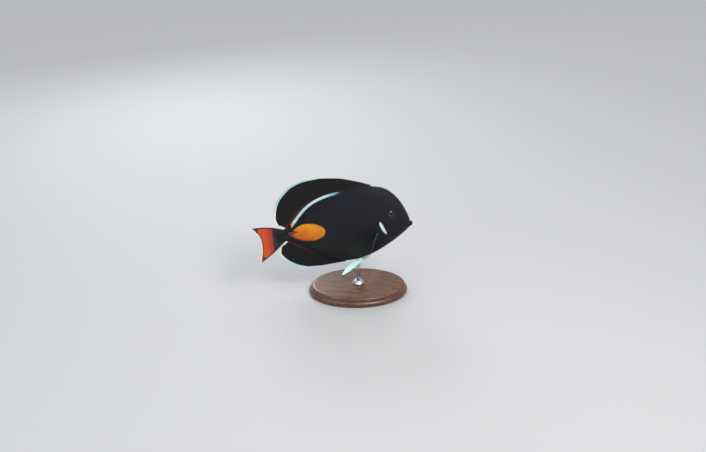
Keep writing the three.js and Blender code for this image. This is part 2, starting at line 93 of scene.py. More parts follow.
# %% Outlines of the body
LENGTH = 0.166
MM = 0.001
back_line = smooth_curve([
    (0, -0.03), (0.03, 0.062), (0.055, 0.122), (0.085, 0.175), (0.12, 0.219), (0.16, 0.254),
    (0.21, 0.278), (0.27, 0.289), (0.35, 0.293), (0.45, 0.292), (0.55, 0.282), (0.63, 0.266),
    (0.7, 0.24), (0.76, 0.203), (0.81, 0.158), (0.85, 0.115), (0.89, 0.075), (0.925, 0.053),
    (0.96, 0.046), (1.0, 0.048),
])
belly_line = smooth_curve([
    (0, -0.06), (0.02, -0.08), (0.05, -0.104), (0.09, -0.133), (0.14, -0.167), (0.2, -0.203),
    (0.27, -0.239), (0.35, -0.27), (0.43, -0.287), (0.5, -0.289), (0.57, -0.275), (0.63, -0.248),
    (0.7, -0.205), (0.76, -0.165), (0.81, -0.13), (0.85, -0.1), (0.89, -0.071), (0.925, -0.054),
    (0.96, -0.047), (1.0, -0.049),
])
side_line = smooth_curve([
    (0, 0.018), (0.02, 0.026), (0.05, 0.041), (0.09, 0.057), (0.14, 0.073), (0.2, 0.087),
    (0.28, 0.097), (0.38, 0.096), (0.5, 0.088), (0.6, 0.076), (0.7, 0.06), (0.78, 0.047),
    (0.85, 0.036), (0.93, 0.026), (0.97, 0.019), (1.0, 0.013),
])
widest_line = smooth_curve([(0, -0.046), (0.08, -0.02), (0.18, 0.0), (0.5, 0.005), (1.0, 0.0)])
pinch_line = smooth_curve([(0, 0.9), (0.1, 1.05), (0.4, 1.15), (0.75, 1.3), (0.9, 1.1), (1, 1)])
gill_edge = smooth_curve([
    (-0.22, 0.15), (-0.17, 0.178), (-0.11, 0.214), (-0.04, 0.242), (0.02, 0.247), (0.08, 0.235),
    (0.15, 0.222), (0.3, 0.205),
])
fine = np.linspace(0, 1, 200)
depth = max(back_line(fine) - belly_line(fine)) * LENGTH
print(f"body {LENGTH / MM:.0f} mm long and {depth / MM:.0f} mm deep")

# %% [markdown]
# ## From the straight fish to the pose
# The fish swims with its head a little up and its tail swept to its right. An armature could bend
# it, but one function does the same to every point, so skin, scales and fins keep together.

# %% Pose every point alike
PITCH = math.radians(6.5)
SWEEP = math.radians(30)
SWEEP_START, SWEEP_END = 0.8, 1.02
ROD_STATION = 0.42
AXIS_HEIGHT = 0.095


def place(station, side, height):
    """Body coordinates to metres on the straight fish."""
    station, side, height = np.broadcast_arrays(station, side, height)
    return np.stack([(ROD_STATION - station) * LENGTH, side * LENGTH, height * LENGTH], axis=-1)


def posed(points):
    """Sweep the straight fish's rear to its right, tip it head-up and lift it onto the rod."""
    x, y, z = np.moveaxis(np.asarray(points, float), -1, 0)
    arc = (SWEEP_END - SWEEP_START) * LENGTH
    radius = arc / SWEEP
    start = (ROD_STATION - SWEEP_START) * LENGTH
    past = np.maximum(start - x, 0)
    turn = np.minimum(past / radius, SWEEP)
    beyond = np.maximum(past - arc, 0)
    swept_x = start - radius * np.sin(turn) - beyond * np.cos(turn) - y * np.sin(turn)
    swept_y = y * np.cos(turn) - radius * (1 - np.cos(turn)) - beyond * np.sin(turn)
    x = np.where(past > 0, swept_x, x)
    y = np.where(past > 0, swept_y, y)
    forward = belly_line(ROD_STATION) * LENGTH * math.sin(PITCH)
    tipped_x = x * math.cos(PITCH) - z * math.sin(PITCH) + forward
    tipped_z = x * math.sin(PITCH) + z * math.cos(PITCH) + AXIS_HEIGHT
    return np.stack([tipped_x, y, tipped_z], axis=-1)


print("snout at", np.round(posed(place(0, 0, -0.045)) / MM, 1), "mm")

# %% [markdown]
# ## Mesh helpers
# Every piece of the fish is a mesh with a body to ride on, solids that it stands for and a finish.
# Blender can extrude, sculpt or subdivide one, but big regular meshes are quickest from whole
# arrays of points. Each point also carries named attributes: where it lies on the straight fish, and
# how far it is from the fins' roots. The materials read those, so a marking keeps its place on a skin
# that is bent.


# %% Build a mesh from arrays
def new_mesh(name, points, faces, slot, *nodes):
    """A smooth piece from points and faces, which rides the root and stands for the given nodes."""
    mesh = bpy.data.meshes.new(name)
    mesh.from_pydata(points.tolist(), [], faces)
    mesh.shade_smooth()
    piece = bpy.data.objects.new(name, mesh)
    bpy.context.scene.collection.objects.link(piece)
    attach(piece, "root")
    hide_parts(*nodes)
    return piece


def tag(piece, name, values):
    """A named attribute of three numbers for each point of a piece."""
    made = piece.data.attributes.new(name, "FLOAT_VECTOR", "POINT")
    made.data.foreach_set("vector", np.asarray(values, np.float32).ravel())


def grid_faces(rows, columns, wrap=False):
    """The quads of a grid of points numbered row by row, wrapping round in columns if asked."""
    r = np.arange(rows - 1)[:, None] * columns
    c = np.arange(columns if wrap else columns - 1)[None, :]
    after = (c + 1) % columns
    quads = np.stack([r + c, r + after, r + columns + after, r + columns + c], axis=-1)
    return quads.reshape(-1, 4).tolist()


def spot_of(points):
    """Body coordinates of straight-fish points, the attribute that the markings read."""
    station = ROD_STATION - points[..., 0] / LENGTH
    return np.stack([station, points[..., 2] / LENGTH, points[..., 1] / LENGTH], axis=-1)


open_faces, wrapped_faces = len(grid_faces(3, 4)), len(grid_faces(3, 4, wrap=True))
print("a grid of 3 by 4 points has", open_faces, "faces, or", wrapped_faces, "where it wraps round")

# %% [markdown]
# ## Rings of the body
# Under the scales the fish is one smooth, deep and narrow body. It could be a subdivided cage, but
# here it is drawn as rings from belly to back, closer together on the head and at the gill cover.
# Each ring leans so that one of them runs along the gill cover's edge, which keeps that edge crisp.


# %% Soft steps and the spacing of the rings
def smooth_step(value, low, high):
    """0 below low, 1 above high and a soft slope between."""
    t = np.clip((value - low) / (high - low), 0, 1)
    return t * t * (3 - 2 * t)


def bump_at(distance, width):
    """A soft round bump of height 1 that fades over about its width."""
    return np.exp(-((distance / width) ** 2))


HALF_RING = 150
RING_COUNT = 330
GILL_STATION = 0.235
SNOUT_ROUND = 0.02
STALK_END = 1.02
STALK_ROUND = 0.03
ring_density = smooth_curve([
    (0, 9), (0.03, 2.6), (0.17, 2.2), (0.225, 4.5), (0.24, 4.5), (0.28, 2), (0.35, 1.1), (0.75, 1.2),
    (0.84, 2.4), (0.95, 2.4), (1.02, 6),
])


def ring_stations(count):
    """Stations spaced by the wanted density, with one of them exactly on the gill cover's edge."""
    fine = np.linspace(SNOUT_ROUND * 0.02, STALK_END - STALK_ROUND * 0.01, 4000)
    run = np.concatenate([[0], np.cumsum(ring_density((fine[1:] + fine[:-1]) / 2) * np.diff(fine))])
    stations = np.interp(np.linspace(0, run[-1], count), run, fine)
    stations[np.argmin(abs(stations - GILL_STATION))] = GILL_STATION
    return stations


stations = ring_stations(RING_COUNT)
closest = float(np.diff(stations).min()) * LENGTH / MM
print(RING_COUNT, "rings, the closest", round(closest, 2), "mm apart")


# %% Points of the plain body
def body_point(station, turn):
    """A point of the plain body; turn runs from -90 degrees at the belly to 90 at the back."""
    snout = np.sqrt(1 - (1 - np.clip(station / SNOUT_ROUND, 0, 1)) ** 2)
    past = np.clip((station - STALK_END + STALK_ROUND) / STALK_ROUND, 0, 1)
    end = np.minimum(snout, np.sqrt(1 - past**2))
    tall = np.minimum(snout, (1 - past**4) ** 0.25)
    middle = widest_line(station)
    reach = np.where(turn > 0, back_line(station) - middle, middle - belly_line(station))
    thin = 1 - 0.5 * smooth_step(station, 0.96, 1.01)
    width = thin * side_line(station) * end * np.maximum(np.cos(turn), 0) ** pinch_line(station)
    return place(station, -width, middle + reach * tall * np.sin(turn))


def even_turns(station, count):
    """Turns at even distances along the half ring at one station, and its length in metres."""
    fine = np.linspace(-math.pi / 2, math.pi / 2, 600)
    ring = body_point(np.full_like(fine, station), fine)
    run = np.concatenate([[0], np.cumsum(np.linalg.norm(np.diff(ring, axis=0), axis=1))])
    return np.interp(np.linspace(0, run[-1], count), run, fine), run[-1]


turns = np.array([even_turns(s, HALF_RING)[0] for s in stations])
lean_room = bump_at(stations - GILL_STATION, 0.12) * smooth_step(stations, 0, 0.06)
leaning = np.repeat(stations[:, None], HALF_RING, axis=1)
for _ in range(3):
    height = body_point(leaning, turns)[..., 2] / LENGTH
    leaning = stations[:, None] + (gill_edge(height) - GILL_STATION) * lean_room[:, None]
half = body_point(leaning, turns)
print("the plain body is", round(2 * abs(half[..., 1]).max() / MM, 1), "mm thick")

# %% [markdown]
# ## Relief of the skin
# Living skin isn't smooth. The gill cover stands out with a sharp edge, the eye sits in a hollow, and
# the scalpel lies in a groove. Sculpting could do this, but it could not be read or changed later. So
# each fold is a bump or a dip in millimetres, from its distance to a point or a line on the flank, and
# their sum is added along the normal. All places are (station, height).

# %% Places of the face and the flank
EYE = {"at": (0.143, 0.08), "radius": 5.6 * MM, "depth": 3.6 * MM, "sink": 1.9 * MM}
NOSTRILS = [((0.098, 0.075), 0.95), ((0.112, 0.079), 0.6)]
NOSTRIL_CHANNEL = (0.1, 0.055), (0.118, 0.066)
CHEEK_EDGE = (0.186, 0.045), (0.182, -0.07), (0.13, -0.122)
MOUTH_LINE = (0.004, -0.046), (0.034, -0.054)
SCALPEL = {"hinge": 0.918, "tip": 0.842, "height": 0.018, "half": 1.5, "thick": 0.8, "proud": 0.35}
SCALPEL_GROOVE = (0.904, SCALPEL["height"]), (0.85, SCALPEL["height"])
PECTORAL_BASE = (0.262, -0.05), (0.288, -0.1)

lateral_line = smooth_curve([
    (0.24, 0.15), (0.3, 0.188), (0.4, 0.212), (0.52, 0.205), (0.62, 0.176), (0.7, 0.137),
    (0.78, 0.088), (0.85, 0.05), (0.92, 0.024), (1.0, 0.012),
])


def from_segment(spot, start, end):
    """Distance in millimetres, in side view, from a line between two (station, height) places."""
    spot, start, end = (np.asarray(v, float) for v in (spot, start, end))
    along = end - start
    t = np.clip(((spot - start) @ along) / max(along @ along, 1e-12), 0, 1)
    return np.linalg.norm(spot - start - t[..., None] * along, axis=-1) * LENGTH / MM


def from_spot(spot, centre):
    """Distance in millimetres, in side view, from one (station, height) place."""
    return from_segment(spot, centre, centre)


eye_to_mouth = from_segment(EYE["at"], *MOUTH_LINE)
print("from the eye to the mouth:", round(float(eye_to_mouth), 1), "mm")


# %% Folds of the head
def gill_step(station, height):
    """The gill cover rises to its edge and drops behind it, but not at the nape and the throat."""
    behind = (station - gill_edge(height)) * LENGTH / MM
    rise = 0.5 * np.exp(np.minimum(behind, 0) / 7)
    drop = -0.7 * np.exp(-behind / 0.9)
    opening = smooth_step(height, -0.185, -0.14) * (1 - smooth_step(height, 0.09, 0.13))
    return opening * np.where(behind <= 0.01, rise, drop)


def face_folds(side_view):
    """The eye's hollow and brow, the cheek's edge, the nostrils and the muzzle round the mouth."""
    eye = from_spot(side_view, EYE["at"])
    lift = 0.45 * bump_at(eye - 5.9, 1.1) - 2.6 * (1 - smooth_step(eye, 3.4, 5.3))
    upper_cheek = from_segment(side_view, *CHEEK_EDGE[:2])
    cheek = np.minimum(upper_cheek, from_segment(side_view, *CHEEK_EDGE[1:]))
    lift = lift + 0.25 * bump_at(cheek, 1.7) - 0.3 * bump_at(cheek - 2.8, 1.1)
    channel = from_segment(side_view, *NOSTRIL_CHANNEL)
    lift = lift - 0.5 * bump_at(channel, 1.1) * smooth_step(eye, 5.2, 6.2)
    for nostril, radius in NOSTRILS:
        pit = 1 - smooth_step(from_spot(side_view, nostril), radius * 0.4, radius)
        lift = lift - 0.55 * pit
    mouth = from_segment(side_view, *MOUTH_LINE)
    return lift + 0.65 * bump_at(mouth, 2.2) - 0.2 * bump_at(mouth - 4.6, 1.2)


print("hollow of the eye:", round(float(face_folds(np.array(EYE["at"]))), 2), "mm")


# %% Folds of the flank, and their sum
def flank_folds(station, height, side_view):
    """The scalpel's groove, the pectoral's shoulder, the lateral line and faint waves of muscle."""
    groove = from_segment(side_view, *SCALPEL_GROOVE)
    lift = 0.3 * bump_at(groove - 3.0, 1.3) - 1.2 * (1 - smooth_step(groove, 1.1, 2.3))
    lift = lift + 0.9 * bump_at(from_segment(side_view, *PECTORAL_BASE), 3.2)
    pores = abs(height - lateral_line(station)) * LENGTH / MM
    lift = lift - 0.14 * bump_at(pores, 0.6) * smooth_step(station, 0.25, 0.28) * (station < 0.97)
    muscle = np.sin((station * 62 + 5.5 * abs(height - 0.02)) * math.pi)
    muscle = muscle * smooth_step(station, 0.27, 0.36) * (1 - smooth_step(station, 0.86, 0.95))
    return lift + 0.035 * muscle


def relief(points):
    """Height of the skin over the plain body, in millimetres, for straight-fish points."""
    spot = spot_of(points)
    station, height, side_view = spot[..., 0], spot[..., 1], spot[..., :2]
    return gill_step(station, height) + face_folds(side_view) + flank_folds(station, height, side_view)


def ring_normals(points):
    """Outward normals of a half body: rows run to the tail and columns from belly to back."""
    along = np.gradient(points, axis=0)
    across = np.gradient(points, axis=1)
    across[:, 0] = points[:, 1] - points[:, 1] * (1, -1, 1)
    across[:, -1] = points[:, -2] * (1, -1, 1) - points[:, -2]
    normal = np.cross(across, along)
    normal[:, [0, -1], 1] = 0
    return normal / np.maximum(np.linalg.norm(normal, axis=-1, keepdims=True), 1e-12)


SKIN_DEPTH = 0.12
normals = ring_normals(half)
half_skin = half + normals * ((relief(half) - SKIN_DEPTH) * MM)[..., None]
print("relief from", round(relief(half).min(), 2), "to", round(relief(half).max(), 2), "mm")

# %% [markdown]
# ## Distances that the markings need
# The white line runs along the root of the dorsal fin, and a faint red one follows the anal fin. A
# texture could be painted by hand, but a formula stays crisp. So the distance from each root is
# measured over the skin, up or down each ring, and corrected for the slope of the back.


# %% Distance from each fin's root
def level_share(line, station):
    """The cosine of an outline's slope at a station."""
    slope = (line(station + 0.01) - line(station - 0.01)) / 0.02
    return np.cos(np.arctan(slope))


def reach_of(points):
    """Millimetres over the skin from the middle of the back and of the belly, and an even tone."""
    steps = np.linalg.norm(np.diff(points, axis=1), axis=-1)
    start = np.zeros((len(points), 1))
    from_belly = np.concatenate([start, np.cumsum(steps, axis=1)], axis=1)
    from_back = from_belly[:, -1:] - from_belly
    low_station = ROD_STATION - points[:, :1, 0] / LENGTH
    top_station = ROD_STATION - points[:, -1:, 0] / LENGTH
    from_back = from_back * level_share(back_line, top_station)
    from_belly = from_belly * level_share(belly_line, low_station)
    tone = np.full_like(from_back, 0.5)
    return np.stack([from_back / MM, from_belly / MM, tone], axis=-1)


half_spot = spot_of(half)
half_reach = reach_of(half)
print("longest way round one flank:", round(half_reach[..., 0].max(), 1), "mm")

# %% [markdown]
# ## The skin as one closed piece
# The half body is mirrored and the two sides share the middle lines of back and belly. The skin
# takes the place of the three solids of flesh, so no joint shows between head, trunk and stalk.


# %% Mirror the half body
def whole(values, mirror=(1, 1, 1)):
    """A half body's values as whole rings; mirror has -1 for what changes sign on the left."""
    return np.concatenate([values, values[:, -2:0:-1] * mirror], axis=1)


rings = whole(half_skin, (1, -1, 1))
ring_spot = whole(half_spot, (1, 1, -1))
ring_reach = whole(half_reach)
rows, around = rings.shape[:2]
snout_tip = place(0, 0, widest_line(0)) - (SKIN_DEPTH * MM, 0, 0)
stalk_tip = place(STALK_END, 0, widest_line(1)) + (SKIN_DEPTH * MM, 0, 0)


def with_ends(values, first, last):
    """Values of all ring points, between those of the snout's and the stalk's tips."""
    return np.concatenate([np.asarray(first)[None], values.reshape(-1, 3), np.asarray(last)[None]])


print("whole rings:", rows, "of", around, "points")

# %% Close the skin
faces = [[1 + point for point in quad] for quad in grid_faces(rows, around, wrap=True)]
last = rows * around + 1
for k in range(around):
    faces.append([0, 1 + k, 1 + (k + 1) % around][::-1])
    faces.append([last, last - around + k, last - around + (k + 1) % around])
skin_points = posed(with_ends(rings, snout_tip, stalk_tip))
skin = new_mesh("skin", skin_points, faces, "skin", "head", "trunk", "caudal_peduncle")
print("skin:", len(skin.data.polygons), "faces")

# %% [markdown]
# ## Shader maths in Python
# Every marking of the fish is a formula of where a point lies on it. Such a formula could be wired up
# from Math nodes by hand, but dozens of them are hard to read. So a small class stands for a shader
# value and turns ordinary arithmetic into those nodes. The reflected forms take a plain number on the
# left, so that 1 - mask works.


# %% A class for shader values
class Value:
    """A shader socket that can be used in arithmetic. Each operation adds a Math node."""

    def __init__(self, paint, socket):
        self.paint, self.socket = paint, socket

    def math(self, operation, *terms):
        """A Math node of that operation on the terms."""
        return self.paint.node("ShaderNodeMath", {"operation": operation}, dict(enumerate(terms)))

    def __add__(self, other):
        return self.math("ADD", self, other)

    def __sub__(self, other):
        return self.math("SUBTRACT", self, other)

    def __rsub__(self, other):
        return self.math("SUBTRACT", other, self)

    def __mul__(self, other):
        return self.math("MULTIPLY", self, other)

    def __pow__(self, other):
        return self.math("POWER", self, other)

    def __rpow__(self, other):
        return self.math("POWER", other, self)

    def __abs__(self):
        return self.math("ABSOLUTE", self)

    def sine(self):
        return self.math("SINE", self)

    def least(self, other):
        return self.math("MINIMUM", self, other)

    __radd__, __rmul__ = __add__, __mul__


print("reflected forms:", ", ".join(name for name in vars(Value) if name.startswith("__r")))

# %% [markdown]
# ## Finishes
# Each finish is one Principled shader with nodes in front of it. They could be laid out in the node
# editor, but added by name a whole finish stays readable on a few lines. One method adds any node:
# first its settings, then the values or links of its sockets. A second class adds short names for the
# few kinds that come back again and again.


# %% A class for materials
class Paint:
    """A material: node() adds a node to it, and set() fills sockets of its Principled shader."""

    def __init__(self, name, **constants):
        self.material = bpy.data.materials.new(name)
        self.material.use_nodes = True
        self.tree = self.material.node_tree
        self.shader = self.tree.nodes["Principled BSDF"]
        self.set(**constants)

    def fill(self, socket, value):
        """Link a shader value to a socket, or put a plain number or colour in it."""
        if isinstance(value, Value):
            self.tree.links.new(value.socket, socket)
        else:
            socket.default_value = value

    def set(self, **values):
        """Fill the shader's sockets by name, as in base_color or roughness."""
        for name, value in values.items():
            label = name.replace("_", " ").title().replace("Ior", "IOR")
            self.fill(self.shader.inputs[label], value)

    def node(self, kind, settings, inputs, out=0):
        """Any node: its settings first, then its inputs. The answer is one of its outputs."""
        made = self.tree.nodes.new(kind)
        for name, value in settings.items():
            setattr(made, name, value)
        for name, value in inputs.items():
            self.fill(made.inputs[name], value)
        return Value(self, made.outputs[out])


print("a paint can:", ", ".join(name for name in vars(Paint) if not name.startswith("_")))


# %% Short names for common nodes
class Finish(Paint):
    """A paint that also knows the nodes that come back again and again."""

    def attribute(self, name):
        """The vector attribute of that name."""
        return self.node("ShaderNodeAttribute", {"attribute_name": name}, {}, out="Vector")

    def parts(self, vector):
        """The three numbers of a vector."""
        first = self.node("ShaderNodeSeparateXYZ", {}, {0: vector})
        return [Value(self, socket) for socket in first.socket.node.outputs]

    def slope(self, value, low, high):
        """0 before low and 1 after high, with a soft slope between, or falling if low is above high."""
        inputs = {"Value": value, "From Min": low, "From Max": high}
        return self.node("ShaderNodeMapRange", {"interpolation_type": "SMOOTHSTEP"}, inputs)

    def mix(self, share, first, second):
        """The first colour, turning into the second as share goes from 0 to 1."""
        inputs = {0: share, 6: first, 7: second}
        return self.node("ShaderNodeMix", {"data_type": "RGBA"}, inputs, out=2)

    def noise(self, vector, scale, detail):
        """Soft grain: scale is how fine it is, and detail how rough."""
        return self.node("ShaderNodeTexNoise", {}, {"Vector": vector, "Scale": scale, "Detail": detail})

    def bump(self, height, distance, strength):
        """A normal from a height of 0 to 1 that stands for a distance in metres."""
        inputs = {"Height": height, "Distance": distance, "Strength": strength}
        return self.node("ShaderNodeBump", {}, inputs)


print("a finish also can:", ", ".join(name for name in vars(Finish) if not name.startswith("_")))


# %% Screen colours for shaders
def rgb(red, green, blue):
    """A screen colour of 0 to 255 as the linear colour that shaders use."""
    shares = [c / 255 for c in (red, green, blue)]
    linear = [((c + 0.055) / 1.055) ** 2.4 if c > 0.0393 else c / 12.92 for c in shares]
    return (*linear, 1)


print("the patch's upper orange as a shader colour:", np.round(rgb(255, 172, 28), 3))

# %% [markdown]
# ## Markings
# The fish is black, with a painted blue sheen on its back. An orange patch lies round the scalpel, a
# white bar on the gill cover and a white line under the dorsal fin. They could be painted on an image,
# but here each is stored on the points as the distance to its edge in millimetres, which a material
# can turn into a crisp edge at any size. Skin, scales and lips carry the same distances, so the marks
# run through all.

# %% Outlines of the marks
PATCH_FRONT, PATCH_REAR = 0.632, 0.903
patch_top = smooth_curve([
    (PATCH_FRONT, 0.012), (0.642, 0.036), (0.672, 0.06), (0.72, 0.077), (0.765, 0.08), (0.81, 0.07),
    (0.849, 0.05), (0.876, 0.031), (PATCH_REAR, 0.005),
])
patch_bottom = smooth_curve([
    (PATCH_FRONT, 0.012), (0.641, -0.012), (0.67, -0.038), (0.73, -0.06), (0.79, -0.057),
    (0.84, -0.04), (0.878, -0.02), (PATCH_REAR, 0.005),
])
bar_middle = smooth_curve([(-0.075, 0.189), (-0.045, 0.204), (-0.007, 0.218), (0.038, 0.233)])
bar_half = smooth_curve([
    (-0.08, -0.6), (-0.06, 0.9), (-0.025, 1.6), (0.012, 1.55), (0.032, 0.9), (0.046, -0.6),
])
LINE = {"front": 0.478, "rear": 0.882, "middle": 2.5, "half": 1.75, "taper": 0.06}
print("the patch is", round((PATCH_REAR - PATCH_FRONT) * LENGTH / MM, 1), "mm long")


# %% Distance into each mark
def marks_of(spot, reach):
    """Millimetres into the patch, the bar and the line for places on the body; negative outside."""
    station, height = spot[..., 0], spot[..., 1]
    inside = [
        patch_top(station) - height, height - patch_bottom(station),
        station - PATCH_FRONT, PATCH_REAR - station,
    ]
    patch = np.min(inside, axis=0) * LENGTH / MM
    bar = bar_half(height) - abs(station - bar_middle(height)) * LENGTH / MM * 0.95
    along = np.minimum(station - LINE["front"], LINE["rear"] - station) * LENGTH / MM
    full = smooth_step(station, LINE["front"], LINE["front"] + LINE["taper"])
    half_width = LINE["half"] * (0.1 + 0.9 * full)
    line = np.minimum(half_width - abs(reach[..., 0] - LINE["middle"]), along)
    return np.stack([patch, bar, line], axis=-1)


def tag_body(piece, points, reach):
    """The attributes that the body's materials read, from straight-fish points."""
    spot = spot_of(points)
    tag(piece, "spot", spot)
    tag(piece, "reach", reach)
    tag(piece, "marks", marks_of(spot, reach))


skin_reach = with_ends(ring_reach, ring_reach[0, 0], ring_reach[-1, 0])
tag_body(skin, with_ends(rings, snout_tip, stalk_tip), skin_reach)
print("points inside the orange patch:", int((marks_of(ring_spot, ring_reach)[..., 0] > 0).sum()))

# %% [markdown]
# ## Black skin and its marks
# Living black is never even: it is clouded with grey and brown, and a blue sheen on the back is
# painted in. The edges of the marks are slightly ragged, because each scale takes one colour or the
# other. Colours stored on the points would blur from one point to the next, so each mark is a formula
# in a short function.


# %% Black and orange
def black_skin_and_sheen(paint, cloud, height):
    """Black with faint clouds, and a painted blue sheen that grows towards the back."""
    # painted sheen: the black turns bluer towards the back, as light from above would show on it
    black_and_sheen = paint.mix(paint.slope(height, -0.2, 0.22), rgb(13, 13, 14), rgb(17, 19, 31))
    return paint.mix(paint.slope(cloud, 0.35, 0.75) * 0.4, black_and_sheen, rgb(24, 22, 26))


def patch_orange(paint, cloud, station, height):
    """Orange, yellower above, dark where it ends behind the scalpel."""
    above = paint.slope(height - station * 0.3, -0.31, -0.16)
    orange = paint.mix(above, rgb(226, 94, 12), rgb(255, 172, 28))
    orange = paint.mix(paint.slope(station, 0.85, 0.9), orange, rgb(96, 30, 12))
    return paint.mix(paint.slope(cloud, 0.4, 0.8) * 0.5, orange, rgb(222, 100, 18))


print("darkest black of the belly:", np.round(rgb(13, 13, 14)[:3], 4))

# %% Lines of the fins and the mouth
CHIN = {"station": 0.019, "height": -0.05, "radius": 0.034}


def line_white(paint, station):
    """The line under the dorsal fin: blue in front, then white, and orange at its end."""
    white = paint.mix(paint.slope(station, 0.52, 0.62), rgb(116, 166, 190), rgb(204, 234, 232))
    return paint.mix(paint.slope(station, 0.85, 0.88), white, rgb(226, 150, 70))


def chin_mask(paint, station, height):
    """A thin half ring below the mouth."""
    from_mouth = ((station - CHIN["station"]) ** 2 + (height - CHIN["height"]) ** 2) ** 0.5
    ring = paint.slope(abs(from_mouth - CHIN["radius"]), 0.0026, 0.0012)
    return ring * paint.slope(height, -0.068, -0.078)


def anal_mask(paint, station, from_belly):
    """A faint line along the rear half of the anal fin's root."""
    near_root = paint.slope(abs(from_belly - 1.3), 1.0, 0.5)
    return near_root.least(paint.slope(station, 0.7, 0.76)).least(paint.slope(station, 0.9, 0.88))


print("ring below the mouth:", round(2 * CHIN["radius"] * LENGTH / MM, 1), "mm across")


# %% Paint of the body
def body_paint(name):
    """Black skin with its marks, for any piece that carries the body's attributes."""
    paint = Finish(name, specular_ior_level=0.28)
    spot = paint.attribute("spot")
    station, height, _ = paint.parts(spot)
    patch, bar, line = paint.parts(paint.attribute("marks"))
    _, from_belly, tone = paint.parts(paint.attribute("reach"))
    ragged = (paint.noise(spot, 160, 3) - 0.5) * 1.1
    cloud = paint.noise(spot, 9, 4)
    orange = patch_orange(paint, cloud, station, height)
    colour = paint.mix(paint.slope(patch + ragged, -0.7, 0.7), black_skin_and_sheen(paint, cloud, height), orange)
    colour = paint.mix(tone * 0.3, colour, rgb(30, 31, 38))
    fading_in = paint.slope(station, LINE["front"], 0.53) * 0.75 + 0.25
    line_share = paint.slope(line + ragged * 0.6, -0.35, 0.35) * fading_in
    colour = paint.mix(line_share, colour, line_white(paint, station))
    colour = paint.mix(paint.slope(bar + ragged * 0.6, -0.45, 0.3), colour, rgb(214, 236, 248))
    colour = paint.mix(chin_mask(paint, station, height) * 0.45, colour, rgb(120, 150, 172))
    colour = paint.mix(anal_mask(paint, station, from_belly) * 0.8, colour, rgb(112, 44, 26))
    paint.set(base_color=colour, roughness=tone * 0.14 + 0.3)
    return paint


skin_paint = body_paint("skin")
skin.data.materials.append(skin_paint.material)
print("skin material:", len(skin_paint.tree.nodes), "nodes")

# %% [markdown]
# ## A coat of fine scales
# A surgeonfish has very small rough scales, under a millimetre on the face and about one on the
# flank. Each is rooted in front and lifts slightly behind, over the next. Particle hair could carry
# them, but here every scale is a small solid wedge whose corners are looked up on the skin's own
# grid, so they follow the body exactly, also round the gill cover's edge.

# %% Look up places on the skin
skin_normals = ring_normals(half_skin)
ring_length = np.array([even_turns(s, 2)[1] for s in stations]) / MM
middle_column = np.array([np.interp(0, turn, np.arange(HALF_RING)) for turn in turns])
row_numbers = np.arange(len(stations))
ring_gaps = np.linalg.norm(np.diff(half_skin, axis=0), axis=-1).mean(axis=1) / MM
ring_run = np.concatenate([[0], np.cumsum(ring_gaps)])


def sample(grid, row, column):
    """Values of the skin's half grid at fractional rows and columns."""
    row = np.clip(row, 0, grid.shape[0] - 1.001)
    column = np.clip(column, 0, grid.shape[1] - 1.001)
    r, c = row.astype(int), column.astype(int)
    part_r, part_c = (row - r)[..., None], (column - c)[..., None]
    first = grid[r, c] * (1 - part_c) + grid[r, c + 1] * part_c
    second = grid[r + 1, c] * (1 - part_c) + grid[r + 1, c + 1] * part_c
    return first * (1 - part_r) + second * part_r


print("from snout to stalk over the skin:", round(ring_run[-1], 1), "mm")

# %% [markdown]
# ## Where scales grow
# The eye, the lips, the nostrils, the gill opening, the scalpel's groove and the roots of the fins
# are bare. Elsewhere the scales lie in rows round the body, and every other row is shifted by half a
# scale, as tiles are. Scattering them at random would leave gaps. A small random shift of each one is
# enough to look grown, and its seed is fixed, so that the coat is the same every time.


# %% Bare places
def bare(spot, reach):
    """Whether a place on the body has no scales."""
    side_view = spot[..., :2]
    station, height = spot[..., 0], spot[..., 1]
    behind = (station - gill_edge(height)) * LENGTH / MM
    open_gill = (behind > -0.5) & (behind < 1.3) & (height < 0.12) & (height > -0.16)
    none = open_gill | (from_spot(side_view, EYE["at"]) < 5.75)
    for line, width in ((MOUTH_LINE, 2.0), (SCALPEL_GROOVE, 2.0), (PECTORAL_BASE, 1.6)):
        none |= from_segment(side_view, *line) < width
    for nostril, radius in NOSTRILS:
        none |= from_spot(side_view, nostril) < radius + 0.55
    under_dorsal = (reach[..., 0] < 0.7) & (station > 0.26) & (station < 0.92)
    under_anal = (reach[..., 1] < 0.7) & (station > 0.5) & (station < 0.915)
    return none | under_dorsal | under_anal


print("bare points of the skin's half grid:", int(bare(half_spot, half_reach).sum()))

# %% Rows of roots
scale_pitch = smooth_curve([
    (0, 0.5), (0.08, 0.58), (0.2, 0.72), (0.3, 0.92), (0.5, 1.02), (0.7, 0.95), (0.85, 0.75),
    (1.02, 0.6),
])
ROW_STEP = 0.7
SIDE_STEP = 1.12
FIRST_ROW, LAST_MARGIN = 0.8, 1.2
rng = np.random.default_rng(7)
roots = []
run, row_count = FIRST_ROW, 0
while run < ring_run[-1] - LAST_MARGIN:
    row = np.interp(run, ring_run, row_numbers)
    around_mm = np.interp(row, row_numbers, ring_length)
    middle_mm = np.interp(row, row_numbers, middle_column) / (HALF_RING - 1) * around_mm
    pitch = float(scale_pitch(np.interp(row, row_numbers, stations)))
    step = pitch * SIDE_STEP
    count = int(around_mm / step) + 2
    girths = middle_mm + (np.arange(-count, count) + 0.5 * (row_count % 2)) * step
    for girth in girths[(girths > -0.4 * step) & (girths < around_mm + 0.4 * step)]:
        shift = rng.uniform(-0.07, 0.07, 2) * step
        roots.append((run + shift[0], girth + shift[1], around_mm, pitch))
    run += ROW_STEP * pitch
    row_count += 1
print(row_count, "rows with", len(roots), "roots")

